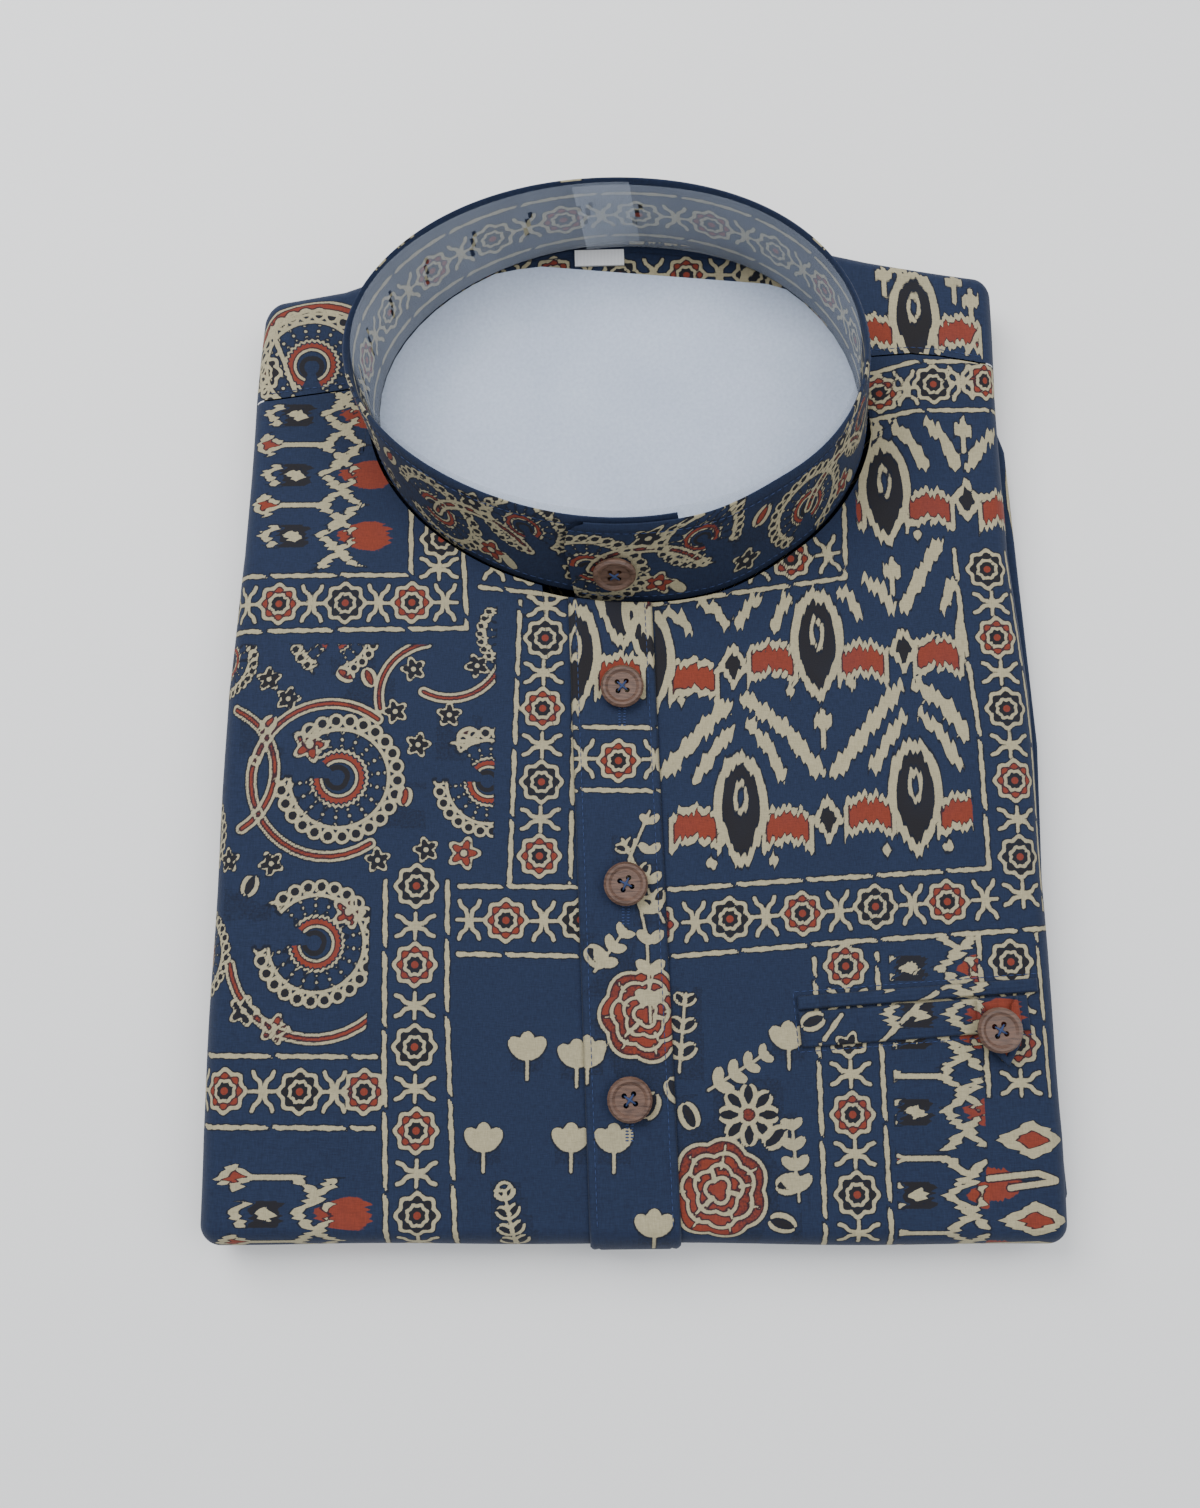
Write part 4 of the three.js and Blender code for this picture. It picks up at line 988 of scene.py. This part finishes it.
SLEEVE_Y = (-149, -141, -128, -110, -60, -10, 12, 45, 84, 95)
SLEEVE_X = (119.5, 123.66, 123.0, 120.6, 121.4, 122.6, 121.4, 119.6, 117.6, 114.0)
u, v = grid(24, round(244 / SPACING / 1.5))
y = mix(-149, 95, v)
nose = np.interp(y, SLEEVE_Y, SLEEVE_X) - 1.4
bend = share(u, 0.2, 0.8) * math.pi
straight = share(abs(u - 0.5), 0.3, 0.5)
x = np.where(straight > 0, mix(nose, nose - 7, straight), nose + 1.4 * np.sin(bend))
z = 7.75 + np.where(straight > 0, np.sign(u - 0.5) * 1.4, -1.4 * np.cos(bend))
fold = np.stack([x, y, z], -1)[::-1]
sleeve = cloth_sheet("sleeve_left", fold, u[::-1] * 18 + 120, y[::-1], print_left, ("sleeve_left",))


# Packing: a clear plastic strip with slots that holds the ring, and thin fibrous paper in the neck.
clear, shader, here = new_finish("clear_strip")
shader.inputs["Base Color"].default_value = (0.80, 0.86, 0.95, 1)
shader.inputs["Roughness"].default_value = 0.08
haze = here.noise(60.0)
join(haze * 0.10 + 0.17, shader, "Alpha")
STRIP_COLUMNS, STRIP_ROWS = 360, 24
SLOT_PITCH = 14
u, v = grid(STRIP_COLUMNS, STRIP_ROWS)
angle = mix(3.05, 3.28 + 2 * math.pi, u)
inside = 0.9 * ease(share(angle, 2 * math.pi + 2.5, 2 * math.pi + 3.0))
points = band_point(angle, mix(0.05, 1.015, v), -1.8 - inside)
rows, columns = points.shape[:2]
corner = np.arange(rows * columns).reshape(rows, columns)
faces = np.stack([corner[:-1, :-1], corner[:-1, 1:], corner[1:, 1:], corner[1:, :-1]], -1)
row_number, column_number = np.arange(STRIP_ROWS)[:, None], np.arange(STRIP_COLUMNS)[None, :]
slot_row = (row_number >= 9) & (row_number < 17)
slot_column = (column_number + row_number // 3) % SLOT_PITCH == 0
slotted = slot_row & slot_column & (np.cos(angle[:-1, :-1]) < 0.15) & (points[:-1, :-1, 0] < 12)
mesh = bpy.data.meshes.new("collar_support_strip")
mesh.from_pydata(points.reshape(-1, 3) * MM, [], faces[~slotted])
mesh.materials.append(clear)
mesh.shade_smooth()
support = bpy.data.objects.new("collar_support_strip", mesh)
bpy.context.scene.collection.objects.link(support)
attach(support, "root")
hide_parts("collar_support_strip")

paper, shader, here = new_finish("tissue_paper")
fibre = here.noise(900.0, 5.0)
patchy = here.noise(40.0, 3.0)
tone = ((fibre - 0.5) * 1.2 + (patchy - 0.5) * 0.8 + 0.5).clamped()
join(tone.blend((0.40, 0.47, 0.60, 1), (0.56, 0.63, 0.76, 1)), shader, "Base Color")
shader.inputs["Roughness"].default_value = 0.85
join(fibre.bump(0.2, 0.0002), shader, "Normal")


def finish_node(name, finish):
    """Gives a node of the frame its finish."""
    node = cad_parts[name]
    node.data.materials.clear()
    node.data.materials.append(finish)


finish_node("neck_paper", paper)


# Size label: a bare end of white twill tape, sewn in at the back of the neck and lying on the
# inner yoke.
tape, shader, here = new_finish("label_tape")
twill = here.node("ShaderNodeTexWave", inputs={"Vector": here, "Scale": 700.0})
join(twill.blend((0.60, 0.61, 0.63, 1), (0.80, 0.80, 0.80, 1)), shader, "Base Color")
shader.inputs["Roughness"].default_value = 0.8
finish_node("size_label", tape)


# Buttons: turned dark wood with a raised rim and four holes, sewn on with crossed navy thread.
wood, shader, here = new_finish("button_wood")
grain = here.stretched(260.0, 1700.0, 700.0).noise(1.0, 5.0)
grain = ((grain - 0.5) * 2.2 + 0.5).clamped()
join(grain.blend((0.045, 0.022, 0.015, 1), (0.16, 0.088, 0.060, 1)), shader, "Base Color")
join(grain * 0.2 + 0.36, shader, "Roughness")
join(grain.bump(0.3, 0.0001), shader, "Normal")
thread, shader, here = new_finish("thread")
shader.inputs["Base Color"].default_value = (0.02, 0.04, 0.12, 1)
shader.inputs["Roughness"].default_value = 0.8


HOLE_OUT = 1.35


def stitch_mesh(name, pieces, radius=0.24):
    """Short lengths of thread, each a six-sided spindle from one point to another."""
    verts, faces = [], []
    for start, end in pieces:
        start, end = np.array(start, float), np.array(end, float)
        along = end - start
        side = np.cross(along, (0.02, 0.03, 1.0))
        side = side / (np.linalg.norm(side) + 1e-9)
        up = np.cross(side, along) / (np.linalg.norm(along) + 1e-9)
        base = len(verts)
        for t, r in ((0, 0.5), (0.5, 1.0), (1, 0.5)):
            for k in range(6):
                turn = k * math.pi / 3
                out = (side * math.cos(turn) + up * math.sin(turn)) * radius * r
                verts.append((start + along * t + out) * MM)
        for ring in (0, 6):
            for k in range(6):
                a, b = base + ring + k, base + ring + (k + 1) % 6
                faces.append((a, b, b + 6, a + 6))
        faces += [tuple(base + 5 - k for k in range(6)), tuple(base + 12 + k for k in range(6))]
    mesh = bpy.data.meshes.new(name)
    mesh.from_pydata(verts, [], faces)
    mesh.materials.append(thread)
    mesh.shade_smooth()
    piece = bpy.data.objects.new(name, mesh)
    bpy.context.scene.collection.objects.link(piece)
    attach(piece, "root")
    return piece


for name, spin in (("placket_button_1", 0.1), ("placket_button_2", 0.35), ("placket_button_3", 0.2),
                   ("pocket_button", 0.25), ("collar_button", 0.0)):
    finish_node(name, wood)
    low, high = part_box(name)
    middle = (np.array(low) + np.array(high)) / 2 * 1000
    if name == "collar_button":
        up = band_point(np.array(0.0), 1, 0) - band_point(np.array(0.0), 0, 0)
        up = up / np.linalg.norm(up)
        right = np.array((1.0, 0, 0))
        out = np.cross(right, up)
        middle = middle + out * 0.9
    else:
        right = np.array((math.cos(spin), math.sin(spin), 0))
        up = np.array((-math.sin(spin), math.cos(spin), 0))
        out = np.array((0, 0, 1.0))
        middle[2] = high[2] * 1000 - 0.45
    crossing = []
    for i, j in ((1, 1), (1, -1)):
        reach = HOLE_OUT * (i * right + j * up)
        crossing.append((middle + reach, middle - reach))
    stitch_mesh(name + "_thread", crossing, 0.42)


# Stitching: rows of small navy stitches along the placket, the yoke seams, the pocket and both
# edges of the band, each a short spindle of thread lying on the cloth.
def row(path, lift, pitch=2.1):
    """Stitches along a line of points on the top of the cloth."""
    pieces = []
    for (x0, y0), (x1, y1) in zip(path[:-1], path[1:]):
        count = max(1, round(math.hypot(x1 - x0, y1 - y0) / pitch))
        for i in range(count):
            ends = []
            for t in ((i + 0.12) / count, (i + 0.88) / count):
                spot = cloth(np.array(mix(x0, x1, t)), np.array(mix(y0, y1, t)), -lift)
                ends.append(spot)
            pieces.append(ends)
    return pieces


placket_rows = []
for side in (-1, 1):
    path = [(placket_edge(y, side) - side * 2.2, y) for y in np.linspace(FOOT_BEND, 31, 14)]
    placket_rows += row(path, 1.45)
stitch_mesh("placket_stitches", placket_rows, 0.16)
seam_rows = row([(x, y + 2.2) for x, y in SEAM_RIGHT], 0.05) + row([(x, y + 2.2) for x, y in SEAM_LEFT], 0.05)
stitch_mesh("yoke_stitches", seam_rows, 0.16)
pocket_rows = []
for path in (((-0.8, -1.2), (66.5, -1.2)), ((-0.8, 15.6), (69.5, 15.6)), ((-0.8, -1.2), (-0.8, 15.6))):
    pocket_rows += row([pocket_place(a, b) for a, b in path], 0.05)
stitch_mesh("pocket_stitches", pocket_rows, 0.16)
BAND_STITCHES = 200
band_rows = []
for height in (0.075, 0.91):
    for i in range(BAND_STITCHES):
        ends = []
        for t in ((i + 0.15) / BAND_STITCHES, (i + 0.85) / BAND_STITCHES):
            angle = np.array(mix(-0.15, 2 * math.pi + 0.2, t))
            ends.append(band_point(angle, height, lap_at(angle) + 0.85))
        band_rows.append(ends)
stitch_mesh("band_stitches", band_rows, 0.14)

# Buttonholes: a close row of stitches on each side of a slit in the placket. Each hole runs down
# from under its button.
holes = []
for x, y in ((-3.9, -3.6), (-3.0, -61.6), (-2.1, -121.6)):
    for k in range(12):
        for side in (-1, 1):
            y0 = y + 6.5 - k * 0.85
            spot = [cloth(np.array(x + side * d), np.array(y0), -1.75) for d in (0.25, 1.2)]
            holes.append(spot)
stitch_mesh("buttonhole_stitches", holes, 0.24)
